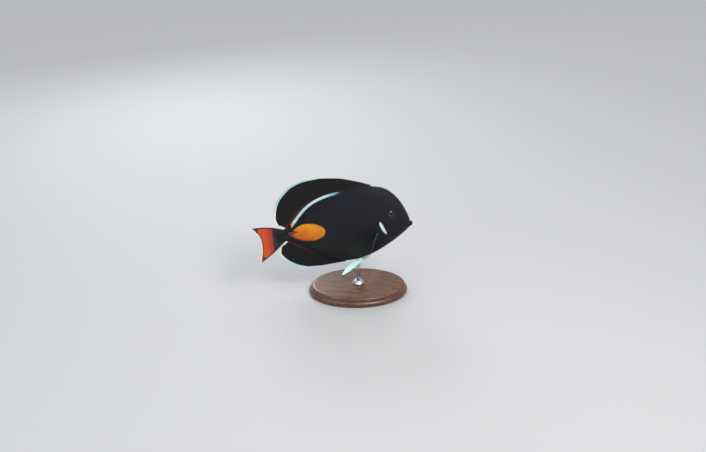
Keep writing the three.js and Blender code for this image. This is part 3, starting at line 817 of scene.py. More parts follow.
# %% Leave out the bare places
roots = np.array(roots)
root_row = np.interp(roots[:, 0], ring_run, row_numbers)
root_column = roots[:, 1] / roots[:, 2] * (HALF_RING - 1)
root_spot = spot_of(sample(half_skin, root_row, root_column))
root_reach = sample(half_reach, root_row, root_column)
kept = ~bare(root_spot, root_reach)
roots, root_column = roots[kept], root_column[kept]
root_spot, root_reach = root_spot[kept], root_reach[kept]
print(len(roots), "scales on each flank")

# %% [markdown]
# ## The scales themselves
# A scale is a thin plate, widest in its middle and cut short behind. One mesh with instances would be
# lighter, but instances can't bend to the body. So ten corners are placed for each scale and joined
# by the same seven faces, and a whole part of the coat becomes one mesh.

# %% One scale
OUTLINE = np.array([(-0.5, -0.4), (-0.5, 0.4), (0.1, 0.62), (0.74, 0.34), (0.74, -0.34), (0.1, -0.62)])
LIFT = np.array([-0.03, -0.03, 0.03, 0.08, 0.08, 0.03])
CORNERS = np.concatenate([OUTLINE, OUTLINE[2:]])
LIFTS = np.concatenate([LIFT, [-0.04, -0.01, -0.01, -0.04]])
SCALE_FACES = [
    (0, 5, 4, 3, 2, 1), (0, 1, 6, 7, 8, 9),
    (1, 2, 6), (2, 3, 7, 6), (3, 4, 8, 7), (4, 5, 9, 8), (5, 0, 9),
]
scale_triangles = sum(len(face) - 2 for face in SCALE_FACES)
print("one scale has", scale_triangles, "triangles, and the coat", scale_triangles * 2 * len(roots))


# %% A map of the coat
SCALE_ON_MAP = 0.0025
MAP_MARGIN = 0.005


def add_map(piece, root):
    """The UV map OFBake: a small patch for each scale, laid out as the scales lie on the flank."""
    count, each = len(root), len(CORNERS)
    low, high = root[:, 0].min(), root[:, 0].max()
    patch = np.stack([(root[:, 0] - low) / (high - low), root[:, 1] / ring_length.max()], axis=-1)
    own = np.tile(CORNERS, (count, 1)) * SCALE_ON_MAP
    layout = np.repeat(patch, each, axis=0) * (1 - 2 * MAP_MARGIN) + own + MAP_MARGIN
    corner_of = np.zeros(len(piece.data.loops), np.int32)
    piece.data.loops.foreach_get("vertex_index", corner_of)
    made = piece.data.uv_layers.new(name="OFBake")
    made.uv.foreach_set("vector", layout[corner_of].astype(np.float32).ravel())
    return made


scale_share = np.ptp(OUTLINE[:, 0]) * SCALE_ON_MAP
print("one scale's patch takes", round(float(scale_share), 4), "of the map's width")


# %% Scales of one flank
def scale_coat(name, side, part):
    """Some scales of one flank as one mesh; side is -1 on the fish's right and 1 on its left."""
    root, column_at = roots[part], root_column[part]
    count, each = len(root), len(CORNERS)
    size = root[:, 3:4] * rng.uniform(0.94, 1.06, (count, 1))
    row = np.interp(root[:, 0:1] + CORNERS[:, 0] * size, ring_run, row_numbers)
    column = column_at[:, None] + CORNERS[:, 1] * size / root[:, 2:3] * (HALF_RING - 1)
    raised = LIFTS * rng.uniform(0.75, 1.25, (count, 1)) * np.minimum(size, 1) * MM
    points = sample(half_skin, row, column) + sample(skin_normals, row, column) * raised[..., None]
    order = 1 if side < 0 else -1
    faces = [[each * k + c for c in face[::order]] for k in range(count) for face in SCALE_FACES]
    piece = new_mesh(name, posed(points.reshape(-1, 3) * (1, -side, 1)), faces, "skin")
    spot = np.repeat(root_spot[part], each, axis=0) * (1, 1, -side)
    reach = np.repeat(root_reach[part], each, axis=0)
    reach[:, 2] = np.repeat(rng.uniform(0, 1, count), each)
    tag(piece, "spot", spot)
    tag(piece, "reach", reach)
    tag(piece, "marks", marks_of(spot, reach))
    add_map(piece, root)
    return piece


scale_paint = body_paint("scales")
fore = root_spot[:, 0] < np.median(root_spot[:, 0])
for part_name, part in (("fore", fore), ("rear", ~fore)):
    for side_name, side in (("right", -1), ("left", 1)):
        piece = scale_coat(f"scales_{part_name}_{side_name}", side, part)
        piece.data.materials.append(scale_paint.material)
        print(piece.name, "has", len(piece.data.polygons), "faces")

# %% [markdown]
# ## Places on the flank
# Eyes, rims and scalpels sit on the body's side, so each needs a point there with its forward, upward
# and outward directions. A shrinkwrap modifier could press them on. The body is already a formula,
# though, so small steps along it give the same directions at once.


# %% A frame on the flank
def flank(station, height):
    """Half width of the plain body at a station and height."""
    middle = widest_line(station)
    reach = np.where(height > middle, back_line(station) - middle, middle - belly_line(station))
    level = np.clip((height - middle) / reach, -1, 1)
    return side_line(station) * (1 - level * level) ** (pinch_line(station) / 2)


def flank_frame(station, height, side):
    """A point of the flank with its forward, upward and outward directions."""
    step = 0.004

    def on_flank(s, h):
        return place(s, side * flank(s, h), h)

    forward = on_flank(station - step, height) - on_flank(station + step, height)
    upward = on_flank(station, height + step) - on_flank(station, height - step)
    outward = np.cross(forward, upward) * -side
    outward /= np.linalg.norm(outward)
    forward /= np.linalg.norm(forward)
    return on_flank(station, height), forward, np.cross(outward, forward) * -side, outward


print("half width of the body at the eye:", round(float(flank(*EYE["at"])) * LENGTH / MM, 1), "mm")

# %% [markdown]
# ## Lips, nostrils and the rim of the eye
# The mouth is small and points forward, for grazing weed. Each lip bends round the snout and thins to
# the corner, and the eye's rim and the nostrils are small rings of skin. They could be Bezier curves
# with a bevel. Tubes drawn from points do the same, with a thickness that changes on the way and with
# the body's own attributes.


# %% Tubes along a path
FAR_FROM_FINS = 50.0


def tube(name, path, radii, sides, closed=False):
    """A tube of skin along straight-fish points, closed into a ring if asked."""
    if closed:
        tangent = np.roll(path, -1, axis=0) - np.roll(path, 1, axis=0)
    else:
        tangent = np.gradient(path, axis=0)
    tangent /= np.linalg.norm(tangent, axis=1, keepdims=True)
    plane = np.linalg.svd(path - path.mean(axis=0), full_matrices=False)[2][2]
    first = np.cross(tangent, plane)
    first /= np.linalg.norm(first, axis=1, keepdims=True)
    second = np.cross(first, tangent)
    turn = np.linspace(0, 2 * math.pi, sides, endpoint=False)[:, None]
    ring = first[:, None] * np.cos(turn) + second[:, None] * np.sin(turn)
    points = (path[:, None] + ring * radii[:, None, None]).reshape(-1, 3)
    count = len(path)
    faces = grid_faces(count + closed, sides, wrap=True)
    faces = [[p % (count * sides) for p in face] for face in faces]
    if not closed:
        faces += [list(range(sides))[::-1], list(range((count - 1) * sides, count * sides))]
    piece = new_mesh(name, posed(points), faces, "skin")
    tag_body(piece, points, np.full((len(points), 3), FAR_FROM_FINS))
    piece.data.materials.append(skin_paint.material)
    return piece


print("tubes are tagged as", FAR_FROM_FINS, "mm from any fin, so that no line runs over them")

# %% Lips
MOUTH = {"height": -0.046, "corner": 0.036, "drop": 0.008, "forward": 0.5, "inset": 0.25}
LIP = {"middle": 1.2, "corner": 0.6, "offset": 1.0, "folds": 34, "fold": 0.03}
turn = np.linspace(-math.pi / 2, math.pi / 2, 61)
back = np.sin(turn) ** 2
for name, upper in (("lip_upper", 1), ("lip_lower", -1)):
    height = MOUTH["height"] - MOUTH["drop"] * back
    path = place(MOUTH["corner"] * back, 0, height)
    path[:, 0] += MOUTH["forward"] * MM * (1 - back)
    path[:, 1] = np.sin(turn) * (flank(MOUTH["corner"], height) * LENGTH - MOUTH["inset"] * MM)
    path[:, 2] += upper * (LIP["offset"] + (LIP["corner"] - LIP["offset"]) * back) * MM
    radii = (LIP["middle"] + (LIP["corner"] - LIP["middle"]) * back) * MM
    lip = tube(name, path, radii * (1 + LIP["fold"] * np.sin(turn * LIP["folds"])), 20)
    print(lip.name, "is", round(np.ptp(path[:, 1]) / MM, 1), "mm wide")

# %% Rims of the eyes and nostrils
RIM_POINTS = 72
skin_rings = [("eye_rim", EYE["at"], 5.05, 0.46, 0.12)]
skin_rings += [(f"nostril_{k}", at, radius, 0.24, 0.05) for k, (at, radius) in enumerate(NOSTRILS)]
full_turn = np.linspace(0, 2 * math.pi, RIM_POINTS, endpoint=False)[:, None]
for suffix, side in (("right", -1), ("left", 1)):
    for name, at, radius, thick, sink in skin_rings:
        centre, forward, upward, outward = flank_frame(*at, side)
        around_it = (forward * np.cos(full_turn) + upward * np.sin(full_turn)) * radius * MM
        path = centre - outward * sink * MM + around_it
        tube(f"{name}_{suffix}", path, np.full(RIM_POINTS, thick * MM), 12, closed=True)
print("rings of skin on each side:", ", ".join(name for name, *_ in skin_rings))

# %% [markdown]
# ## Eyes
# A fish's eye is a nearly round ball behind a clear cornea, and only a shallow dome of it shows. The
# iris is dark brown with a thin gold ring round the pupil. A clear shell would be closer to nature,
# but a glossy coat on one dome gives the same bright point of light and stays simple.

# %% Eye balls
EYE_AROUND, EYE_UP = 72, 48
CORNEA = {"bulge": 0.07, "width": 0.45}


def eye_ball(side, suffix):
    """A flattened ball whose poles point out of the flank and into it."""
    centre, forward, upward, outward = flank_frame(*EYE["at"], side)
    around, up = np.meshgrid(
        np.linspace(0, 2 * math.pi, EYE_AROUND, endpoint=False),
        np.linspace(0.002, math.pi - 0.002, EYE_UP),
    )
    gaze = np.stack([np.cos(around) * np.sin(up), np.sin(around) * np.sin(up), np.cos(up)], axis=-1)
    off_axis = np.hypot(gaze[..., 0], gaze[..., 1])
    scaled = gaze * (EYE["radius"], EYE["radius"], EYE["depth"])
    scaled[..., 2] *= 1 + CORNEA["bulge"] * bump_at(off_axis, CORNEA["width"]) * (gaze[..., 2] > 0)
    points = centre - outward * EYE["sink"] + scaled @ np.array([forward, upward, outward])
    faces = grid_faces(EYE_UP, EYE_AROUND, wrap=True)
    if side > 0:
        faces = [face[::-1] for face in faces]
    last_ring = (EYE_UP - 1) * EYE_AROUND
    faces += [list(range(EYE_AROUND)), list(range(last_ring, last_ring + EYE_AROUND))[::-1]]
    piece = new_mesh(f"eye_{suffix}_ball", posed(points.reshape(-1, 3)), faces, "eye", f"eye_{suffix}")
    tag(piece, "gaze", gaze.reshape(-1, 3))
    return piece


eyes = [eye_ball(-1, "right"), eye_ball(1, "left")]
print(" and ".join(eye.name for eye in eyes), "are", round(2 * EYE["radius"] / MM, 1), "mm across")

# %% Iris and pupil
eye_paint = Finish("eye", roughness=0.3, coat_weight=0.8, coat_roughness=0.02, specular_ior_level=0.0)
gaze = eye_paint.attribute("gaze")
ahead, up, _ = eye_paint.parts(gaze)
from_pupil = (ahead * ahead + up * up * 1.1) ** 0.5 * (EYE["radius"] / MM)
fibres = eye_paint.noise(gaze, 34, 3)
iris = eye_paint.mix(fibres, rgb(22, 12, 7), rgb(72, 40, 20))
iris = eye_paint.mix(eye_paint.slope(from_pupil, 3.6, 4.7), iris, rgb(12, 11, 14))
gold_ring = eye_paint.slope(abs(from_pupil - 2.4), 0.16, 0.02) * 0.8
iris = eye_paint.mix(gold_ring, iris, rgb(122, 84, 34))
iris = eye_paint.mix(eye_paint.slope(from_pupil, 2.36, 2.26), iris, rgb(3, 3, 4))
eye_paint.set(base_color=iris)
for eye in eyes:
    eye.data.materials.append(eye_paint.material)
print("eye material:", len(eye_paint.tree.nodes), "nodes")

# %% [markdown]
# ## Scalpels
# Surgeonfishes are named for the blade on each side of the tail stalk. It is hinged behind and folds
# into a groove, with its point forward. It could be a squashed cone. Here it is a flat horny lens,
# drawn as rings like the body, because then its edge stays sharp all round.

# %% Scalpel blades
BLADE_STEPS, BLADE_SIDES = 26, 24


def scalpel(side, suffix):
    """A blade from its hinge behind to its point in front."""
    turn = np.linspace(0, 2 * math.pi, BLADE_SIDES, endpoint=False)[:, None]
    sharp = np.sign(np.cos(turn)) * abs(np.cos(turn)) ** 1.25
    upright = np.array([0, 0, 1])
    blade = []
    for t in np.linspace(0, 1, BLADE_STEPS):
        station = SCALPEL["hinge"] + (SCALPEL["tip"] - SCALPEL["hinge"]) * t
        centre, _, _, outward = flank_frame(station, SCALPEL["height"], side)
        centre = centre + outward * (SCALPEL["proud"] - SCALPEL["thick"]) * MM
        taper = math.sqrt(max(1 - t**1.6, 0.004)) * min(1, 0.55 + 2.2 * t)
        thick = outward * sharp * SCALPEL["thick"] * (1 - 0.4 * t) * MM
        tall = upright * np.sin(turn) * SCALPEL["half"] * taper * MM
        blade.append(centre + thick + tall)
    points = np.concatenate(blade)
    faces = grid_faces(BLADE_STEPS, BLADE_SIDES, wrap=True)
    last_ring = (BLADE_STEPS - 1) * BLADE_SIDES
    faces += [list(range(BLADE_SIDES))[::-1], list(range(last_ring, last_ring + BLADE_SIDES))]
    if side < 0:
        faces = [face[::-1] for face in faces]
    piece = new_mesh(f"scalpel_{suffix}", posed(points), faces, "spine", f"caudal_spine_{suffix}")
    tag(piece, "spot", spot_of(points))
    return piece


horn = Finish("horn", roughness=0.25, coat_weight=0.4)
growth = horn.noise(horn.attribute("spot"), 90, 2)
horn.set(base_color=horn.mix(growth, rgb(44, 24, 12), rgb(104, 62, 30)))
for side, suffix in ((-1, "right"), (1, "left")):
    scalpel(side, suffix).data.materials.append(horn.material)
print("scalpels", round((SCALPEL["hinge"] - SCALPEL["tip"]) * LENGTH / MM, 1), "mm long")

# %% [markdown]
# ## Fins
# A fin is a thin skin held out by bony rays. The front ones are single spines and the rest are soft
# rays that part towards the edge. Modelling the rays one by one would leave them loose on the
# membrane, where real ones lie inside it. So each fin is one closed sheet that is thicker on every
# ray. A route gives the place of any ray at any distance from its root.

# %% Rays and faces of a sheet
FIN_SINK = 0.014
POINTS_PER_RAY = 12


def ray_ridges(phase, t, spiny):
    """How much a ray shows, from 0 to 1. Soft rays part towards the edge and spines stay single."""
    off = abs(phase - np.round(phase))
    split = 0.2 * smooth_step(t, 0.25, 0.95) * (1 - spiny)
    return bump_at(off - split, 0.12) * (1 - 0.25 * smooth_step(t, 0.5, 1) * (1 - spiny))


def sheet_faces(wide, tall):
    """Faces of a front grid and a back grid of points, with a rim that joins them."""
    front, back = grid_faces(wide, tall), wide * tall
    behind = [[back + p for p in face] for face in front]
    border = [c * tall for c in range(wide)] + [(wide - 1) * tall + r for r in range(1, tall)]
    border += [c * tall + tall - 1 for c in range(wide - 2, -1, -1)] + list(range(tall - 2, 0, -1))
    rim = [[back + b, back + a, a, b] for a, b in zip(border, border[1:] + border[:1])]
    return [face[::-1] for face in front] + behind + rim


print("a sheet of 3 by 4 points closes with", len(sheet_faces(3, 4)), "faces")

# %% Thickness of a sheet
THIN = {"slot": "fin", "root": 0.55, "tip": 0.12, "membrane": 0.17, "swell": 0.7, "swell_run": 1.1}


def half_thickness(build, t, ridge, out, edge):
    """Half the sheet's thickness in metres; it swells at the root and thins to the edge."""
    membrane = build["membrane"] * (1 - 0.45 * t)
    stem = build["root"] + (build["tip"] - build["root"]) * t**0.6
    half = membrane + ridge * np.maximum(stem - membrane, 0.02)
    half = half + build["swell"] * np.exp(-np.maximum(out, 0) / build["swell_run"])
    return half * (1 - 0.55 * smooth_step(edge, 0.5, 0)) * MM


print("a ray is", 2 * THIN["root"], "mm thick at its root and", 2 * THIN["tip"], "mm at its tip")


# %% One sheet for any fin
def fin_sheet(name, node, route, build):
    """A closed sheet along a route, with its number of rays, spines and rows of points in build."""
    rays, rows = build["rays"], build["rows"]
    across = np.linspace(0, 1, (rays - 1) * POINTS_PER_RAY + 1)
    u, t = np.meshgrid(across, np.linspace(0, 1, rows), indexing="ij")
    phase = u * (rays - 1)
    spiny = 1 - smooth_step(phase, build["spines"] - 0.7, build["spines"] - 0.3)
    ridge = ray_ridges(phase, t, spiny)
    notch = (0.07 * spiny + 0.008 * (1 - spiny)) * (2 * abs(phase - np.round(phase))) ** 2
    middle = route(u, t * (1 - notch))
    steps = np.linalg.norm(np.diff(middle, axis=1), axis=-1) / MM
    run = np.concatenate([np.zeros((len(u), 1)), np.cumsum(steps, axis=1)], axis=1)
    edge = run[:, -1:] - run
    out = run - FIN_SINK * LENGTH / MM
    normal = np.cross(np.gradient(middle, axis=0), np.gradient(middle, axis=1))
    normal /= np.maximum(np.linalg.norm(normal, axis=-1, keepdims=True), 1e-12)
    thick = normal * half_thickness(build, t, ridge, out, edge)[..., None]
    points = np.stack([middle + thick, middle - thick]).reshape(-1, 3)
    piece = new_mesh(name, posed(points), sheet_faces(*u.shape), build["slot"], node)
    for label, values in (("fin", (u, t, edge)), ("ray", (ridge, out, spiny))):
        tag(piece, label, np.tile(np.stack(values, axis=-1).reshape(-1, 3), (2, 1)))
    tag(piece, "spot", spot_of(points))
    print(name, "has", len(piece.data.polygons), "faces")
    return piece


# %% [markdown]
# ## Dorsal and anal fins
# These two long fins start low in front and bow back to a rounded end. Their free edge is a smooth
# path, and each ray runs from the back or belly to its own point of that path. Both fins wave a
# little from side to side, as they do when the fish glides.

# %% Edges of the dorsal and anal fins
DORSAL = {
    "base": (0.25, 0.915), "edge": back_line, "side": 1, "lean": 1.1, "sway": (0.009, 1.2, 0.1),
    "margin": [
        (0.273, 0.303), (0.344, 0.334), (0.416, 0.361), (0.487, 0.384), (0.56, 0.398), (0.633, 0.408),
        (0.708, 0.408), (0.768, 0.403), (0.817, 0.387), (0.866, 0.363), (0.911, 0.325), (0.955, 0.28),
        (0.987, 0.208), (0.998, 0.15), (0.985, 0.095),
    ],
}
ANAL = {
    "base": (0.5, 0.91), "edge": belly_line, "side": -1, "lean": 1.05, "sway": (0.007, 0.9, 0.45),
    "margin": [
        (0.526, -0.298), (0.638, -0.3), (0.714, -0.306), (0.798, -0.306), (0.866, -0.287),
        (0.926, -0.247), (0.975, -0.193), (1.0, -0.138), (0.986, -0.09),
    ],
}


def smooth_path(points):
    """A smooth path through (station, height) points, as functions of 0 to 1."""
    points = np.array(points, float)
    run = np.concatenate([[0], np.cumsum(np.linalg.norm(np.diff(points, axis=0), axis=1))])
    run /= run[-1]
    station = smooth_curve(list(zip(run, points[:, 0])))
    height = smooth_curve(list(zip(run, points[:, 1])))
    return lambda t: (station(t), height(t))


for label, fin in (("dorsal", DORSAL), ("anal", ANAL)):
    root_run = (fin["base"][1] - fin["base"][0]) * LENGTH / MM
    print("root of the", label, "fin:", round(root_run, 1), "mm long")


# %% Dorsal and anal fins
def median_route(fin):
    """Rays that lean and bow back from the middle of the back or belly, and wave a little."""
    margin = smooth_path(fin["margin"])
    size, waves, start = fin["sway"]

    def route(u, t):
        station = fin["base"][0] + (fin["base"][1] - fin["base"][0]) * u
        height = fin["edge"](station) - fin["side"] * FIN_SINK
        tip_station, tip_height = margin(u ** fin["lean"])
        bow = (tip_station - station) * t * (1 - t)
        sway = size * t * t * np.sin(2 * math.pi * (waves * u + start))
        along = station + (tip_station - station) * t - 0.48 * bow
        return place(along, sway, height + (tip_height - height) * t + fin["side"] * 0.19 * bow)

    return route


dorsal_build = {**THIN, "rays": 40, "spines": 9, "rows": 44}
dorsal = fin_sheet("dorsal_skin", "dorsal_fin", median_route(DORSAL), dorsal_build)
anal_build = {**THIN, "rays": 30, "spines": 3, "rows": 40}
anal = fin_sheet("anal_skin", "anal_fin", median_route(ANAL), anal_build)

# %% [markdown]
# ## Tail fin
# The tail's rays spread from the end of the stalk, and the outer ones are longest, which makes the
# two lobes. A flat fan could be cut to that outline. A route keeps the rays whole instead, and the
# sheet is thickest at its root, so that it seems to grow out of the stalk.

# %% Tail fin
TAIL = {"root": 0.968, "root_half": 0.04, "fork": 1.135, "upper": 1.205, "lower": 1.178, "half": 0.148}


def caudal_route(u, t):
    """Rays that spread from the end of the stalk into two lobes."""
    level = 1 - 2 * u
    root_station = TAIL["root"] - 0.035 * abs(level) ** 3
    lobe = np.where(level > 0, TAIL["upper"], TAIL["lower"])
    tip = TAIL["fork"] + (lobe - TAIL["fork"]) * abs(level) ** 2.4
    height = TAIL["root_half"] * level + (TAIL["half"] - TAIL["root_half"]) * level * t
    return place(root_station + (tip - root_station) * t, 0, height + 0.07 * level * t * (1 - t))


tail_build = {
    **THIN, "slot": "tail", "rays": 16, "spines": 0, "rows": 70,
    "root": 1.25, "membrane": 0.42, "swell": 0.2, "swell_run": 3.2,
}
caudal = fin_sheet("caudal_skin", "caudal_fin", caudal_route, tail_build)

# %% [markdown]
# ## Pectoral and pelvic fins
# The paired fins fan out from short roots. The pectorals row behind the gill covers and the pelvics
# trail under the belly. One could be modelled and mirrored. Here one route serves all four, from the
# headings of its first and last ray and a length for each ray between.

# %% Fans of the paired fins
PECTORAL = {
    "leading": (17, 6), "trailing": (72, 34), "cup": 0.05,
    "reach": smooth_curve([(0, 0.225), (0.12, 0.25), (0.3, 0.238), (0.6, 0.18), (1, 0.11)]),
}
PELVIC = {
    "leading": (66, 22), "trailing": (78, 14), "cup": 0.03,
    "reach": smooth_curve([(0, 0.2), (0.2, 0.25), (0.5, 0.215), (1, 0.13)]),
}
PELVIC_BASE = ((0.335, 0.032, -0.25), (0.356, 0.016, -0.262))


def heading(angles, side):
    """The direction of a ray from how far it points back and down, in degrees."""
    back, down = (math.radians(a) for a in angles)
    level = math.cos(down)
    return np.array([-level * math.sin(back), side * level * math.cos(back), -math.sin(down)])


def paired_route(fin, first, last, side):
    """Rays that fan out from a short root on the flank."""
    leading, trailing = heading(fin["leading"], side), heading(fin["trailing"], side)

    def route(u, t):
        along = leading * (1 - u[..., None]) + trailing * u[..., None]
        along /= np.linalg.norm(along, axis=-1, keepdims=True)
        reach = fin["reach"](u) * LENGTH
        run = -FIN_SINK * LENGTH + (reach + FIN_SINK * LENGTH) * t
        point = first + (last - first) * u[..., None] + along * run[..., None]
        point[..., 2] -= fin["cup"] * reach * t * t
        return point

    return route


for label, fin in (("pectoral", PECTORAL), ("pelvic", PELVIC)):
    longest = fin["reach"](np.linspace(0, 1, 50)).max() * LENGTH
    print("longest ray of a", label, "fin:", round(longest / MM, 1), "mm")

# %% Pectoral and pelvic fins
pectoral_build = {**THIN, "rays": 16, "spines": 1, "rows": 36, "root": 0.5, "membrane": 0.14}
pelvic_build = {
    **THIN, "slot": "pelvic", "rays": 6, "spines": 1, "rows": 40,
    "root": 0.6, "membrane": 0.2, "swell": 0.3, "swell_run": 0.8,
}
pectorals, pelvics = [], []
for side, suffix in ((-1, "right"), (1, "left")):
    ends = [place(s, side * flank(s, h), h) for s, h in PECTORAL_BASE]
    route = paired_route(PECTORAL, *ends, side)
    fin = fin_sheet(f"pectoral_skin_{suffix}", f"pectoral_fin_{suffix}", route, pectoral_build)
    pectorals.append(fin)
    ends = [place(s, side * out, h) for s, out, h in PELVIC_BASE]
    route = paired_route(PELVIC, *ends, side)
    pelvics.append(fin_sheet(f"pelvic_skin_{suffix}", f"pelvic_fin_{suffix}", route, pelvic_build))

# %% [markdown]
# ## Colours of the fins
# Each colour of a fin is chosen by the distance from its edge or its root, and the rays show through
# it. The relief of the rays' fine joints would need very small faces, so it is left to a bump.


# %% A finish for fins
class FinPaint(Finish):
    """A finish with a fin's coordinates: place across, edge, ray's ridge, distance out and spot."""

    def __init__(self, name, **constants):
        super().__init__(name, **constants)
        self.across, _, self.edge = self.parts(self.attribute("fin"))
        self.ridge, self.out, _ = self.parts(self.attribute("ray"))
        self.spot = self.attribute("spot")
        self.station, self.height, _ = self.parts(self.spot)
        joints = (self.out * 9.0).sine()
        grain = self.noise(self.spot, 260, 2)
        self.set(normal=self.bump(self.ridge * joints * 0.25 + grain * 0.5, 0.00008, 0.7))

    def cover(self, pieces, colour):
        """Give the finish its colour and put it on some pieces."""
        self.set(base_color=colour)
        for piece in pieces:
            piece.data.materials.append(self.material)
        print(self.material.name, "finish on", len(pieces), "pieces")


median = FinPaint("median_fins", roughness=0.5, specular_ior_level=0.25)
print("nodes before any colour:", len(median.tree.nodes))

# %% [markdown]
# ## Black fins with a pale edge
# The dorsal and anal fins are black, with a reddish root behind and a narrow edge, which is pale blue
# and turns cream near the tail. A second mesh could be laid along it. The edge widens backwards,
# though, and a width that is a formula of the station does that with no extra piece.

# %% Dorsal and anal colours
rays_black = median.mix(median.ridge * 0.6, rgb(9, 9, 10), rgb(22, 21, 21))
red_root = median.slope(median.out, 3.6, 0.8) * median.slope(median.station, 0.68, 0.86) * 0.4
rays_black = median.mix(red_root, rays_black, rgb(92, 34, 20))
wave = (median.noise(median.spot, 60, 2) - 0.5) * 0.4
edge_width = median.slope(median.station, 0.62, 0.8) * 2.3 + 0.35
pale_edge = median.slope(median.edge + wave - edge_width, 0.15, -0.15)
pale_edge = pale_edge * median.slope(median.station, 0.45, 0.72)
near_tail = median.slope(abs(median.height), 0.28, 0.14)
edge_blue = median.mix(near_tail, rgb(156, 210, 215), rgb(230, 228, 202))
median.cover([dorsal, anal], median.mix(pale_edge, rays_black, edge_blue))

# %% [markdown]
# ## The tail's bands
# From the root the tail is black, then orange-red, with dark outer rays and lobe tips, a thin dark
# line and a cream edge. A colour ramp along the tail would cut straight across it. Mixing band after
# band by the distance from the fin's own edge lets the last ones follow its curve.

# %% Tail colours
tail = FinPaint("tail_fin", roughness=0.48)
upward = 1 - tail.across * 2
level = abs(upward)
orange_red = tail.mix(tail.ridge * 0.5, rgb(192, 62, 18), rgb(216, 96, 34))
orange_red = tail.mix(tail.slope(tail.station, 1.1, 1.04), orange_red, rgb(160, 46, 14))
past_root = tail.slope(tail.station + upward * 0.0075, 1.03, 1.042)
band = tail.mix(past_root, rgb(18, 17, 18), orange_red)
band = tail.mix(tail.slope(level, 0.9, 0.935), band, rgb(20, 16, 16))
fringe = tail.edge + (tail.noise(tail.spot, 130, 2) - 0.5) * 0.4
lobe = tail.slope(level, 0.62, 1.0)
band = tail.mix(tail.slope(fringe - lobe * 7, 3.4, 1.9) * 0.9, band, rgb(40, 24, 18))
band = tail.mix(tail.slope(fringe - lobe * 1.5, 1.75, 1.25), band, rgb(228, 224, 204))
tail.cover([caudal], band)

# %% [markdown]
# ## Pale and clear fins
# The pelvic fins are pale turquoise with a dark rim; their brightness is partly a painted sheen, and a
# painted shade darkens their root. The pectorals are almost clear, with smoky rays and a bluish front
# edge that is partly a painted sheen. Glass would bend the light behind them, which a fin as thin as
# paper doesn't, so they are simply see-through between the rays.

# %% Pelvic and pectoral colours
pelvic = FinPaint("pelvic_fins", roughness=0.42)
# painted sheen: the pale turquoise is lifted towards white, as light from above would show on it
turquoise_and_sheen = pelvic.mix(pelvic.ridge * 0.8, rgb(190, 248, 238), rgb(228, 254, 248))
# painted shade: a darker copy of the turquoise at the fin's root, where it meets the belly
turquoise_and_sheen = pelvic.mix(pelvic.slope(pelvic.out, 0.8, 0.1), turquoise_and_sheen, rgb(96, 148, 148))
dark_rim = pelvic.slope(pelvic.edge, 0.6, 0.35)
pelvic.cover(pelvics, pelvic.mix(dark_rim, turquoise_and_sheen, rgb(24, 40, 48)))

breast = FinPaint("pectoral_fins", roughness=0.4)
smoke = breast.mix(breast.ridge, rgb(24, 24, 28), rgb(46, 44, 47))
# the bluish front edge is partly the fin's own colour and partly a painted sheen
front_edge_and_sheen = breast.slope(breast.across, 0.04, 0.015) * 0.55
clear = breast.slope(breast.out, 0.5, 6.0) * (0.86 - breast.ridge * 0.5)
breast.set(alpha=1 - clear)
breast.cover(pectorals, breast.mix(front_edge_and_sheen, smoke, rgb(80, 122, 150)))

# %% [markdown]
# ## The stand
# The living fish needs no support. The model hangs in the air on one steel rod with a collar, set in
# an oval walnut base. A screw modifier can turn a profile, but the base is also stretched to an oval,
# and its corners are rounded. So a profile is spun in Python and scaled each way.


# %% Turned shapes
def rounded(points, cut=0.048, steps=5):
    """A profile with its corners cut by small arcs."""
    points = np.array(points, float)
    path = [points[0]]
    for before, corner, after in zip(points, points[1:], points[2:]):
        into, onto = (
            corner + (end - corner) * min(0.4, cut / max(np.linalg.norm(end - corner), 1e-9))
            for end in (before, after)
        )
        for t in np.linspace(0, 1, steps + 1):
            path.append((1 - t) ** 2 * into + 2 * t * (1 - t) * corner + t * t * onto)
    return [tuple(p) for p in path + [points[-1]]]


def turned(part, slot, profile, segments, size, lift):
    """A profile of (radius, height) spun round the upright axis; size and lift are in millimetres."""
    turn = np.linspace(0, 2 * math.pi, segments, endpoint=False)
    radius, height = (np.array(v)[:, None] for v in zip(*profile))
    x, y = radius * np.cos(turn) * size[0], radius * np.sin(turn) * size[1]
    points = np.stack(np.broadcast_arrays(x, y, height * size[2] + lift), axis=-1).reshape(-1, 3) * MM
    faces = grid_faces(len(profile), segments, wrap=True)
    faces += [list(range(segments))[::-1], [(len(profile) - 1) * segments + k for k in range(segments)]]
    return new_mesh(f"turned_{part}", points, faces, slot, f"stand_{part}")


print("a square profile gets", len(rounded([(0, 0), (1, 0), (1, 1), (0, 1)])), "points when rounded")

# %% Base, collar and rod
BASE_TOP = 12
base_profile = rounded([
    (0.02, 0), (0.97, 0), (1, 0.12), (1, 0.45), (0.965, 0.55), (0.95, 0.9), (0.92, 1), (0.02, 1),
])
collar_profile = rounded([(0.36, 0), (1, 0), (1, 0.45), (0.62, 1), (0.36, 1)])
rod_profile = [(1, 0), (1, 0.5), (1, 1)]
base = turned("base", "wood", base_profile, 160, (62, 41, BASE_TOP), 0)
collar = turned("collar", "steel", collar_profile, 64, (7.5, 7.5, 5), BASE_TOP)
rod = turned("rod", "steel", rod_profile, 48, (2.5, 2.5, 43), BASE_TOP)
print("stand:", ", ".join(piece.name for piece in (base, collar, rod)))

# %% [markdown]
# ## Walnut and steel
# Walnut has dark growth rings and fine pores, both drawn out along the board. A photo of wood would
# repeat and stretch. Noise that is squeezed across the grain gives rings on top and on the rounded
# edge alike. The steel is brushed round, so its streaks change quickly with height.


# %% Noise along a grain
def grain(paint, repeats, scale, detail):
    """Noise on a piece's own coordinates, with its repeats to the metre along each axis."""
    at = paint.node("ShaderNodeTexCoord", {}, {}, out="Object")
    stretched = paint.node("ShaderNodeVectorMath", {"operation": "MULTIPLY"}, {0: at, 1: repeats})
    return paint.noise(stretched, scale, detail)


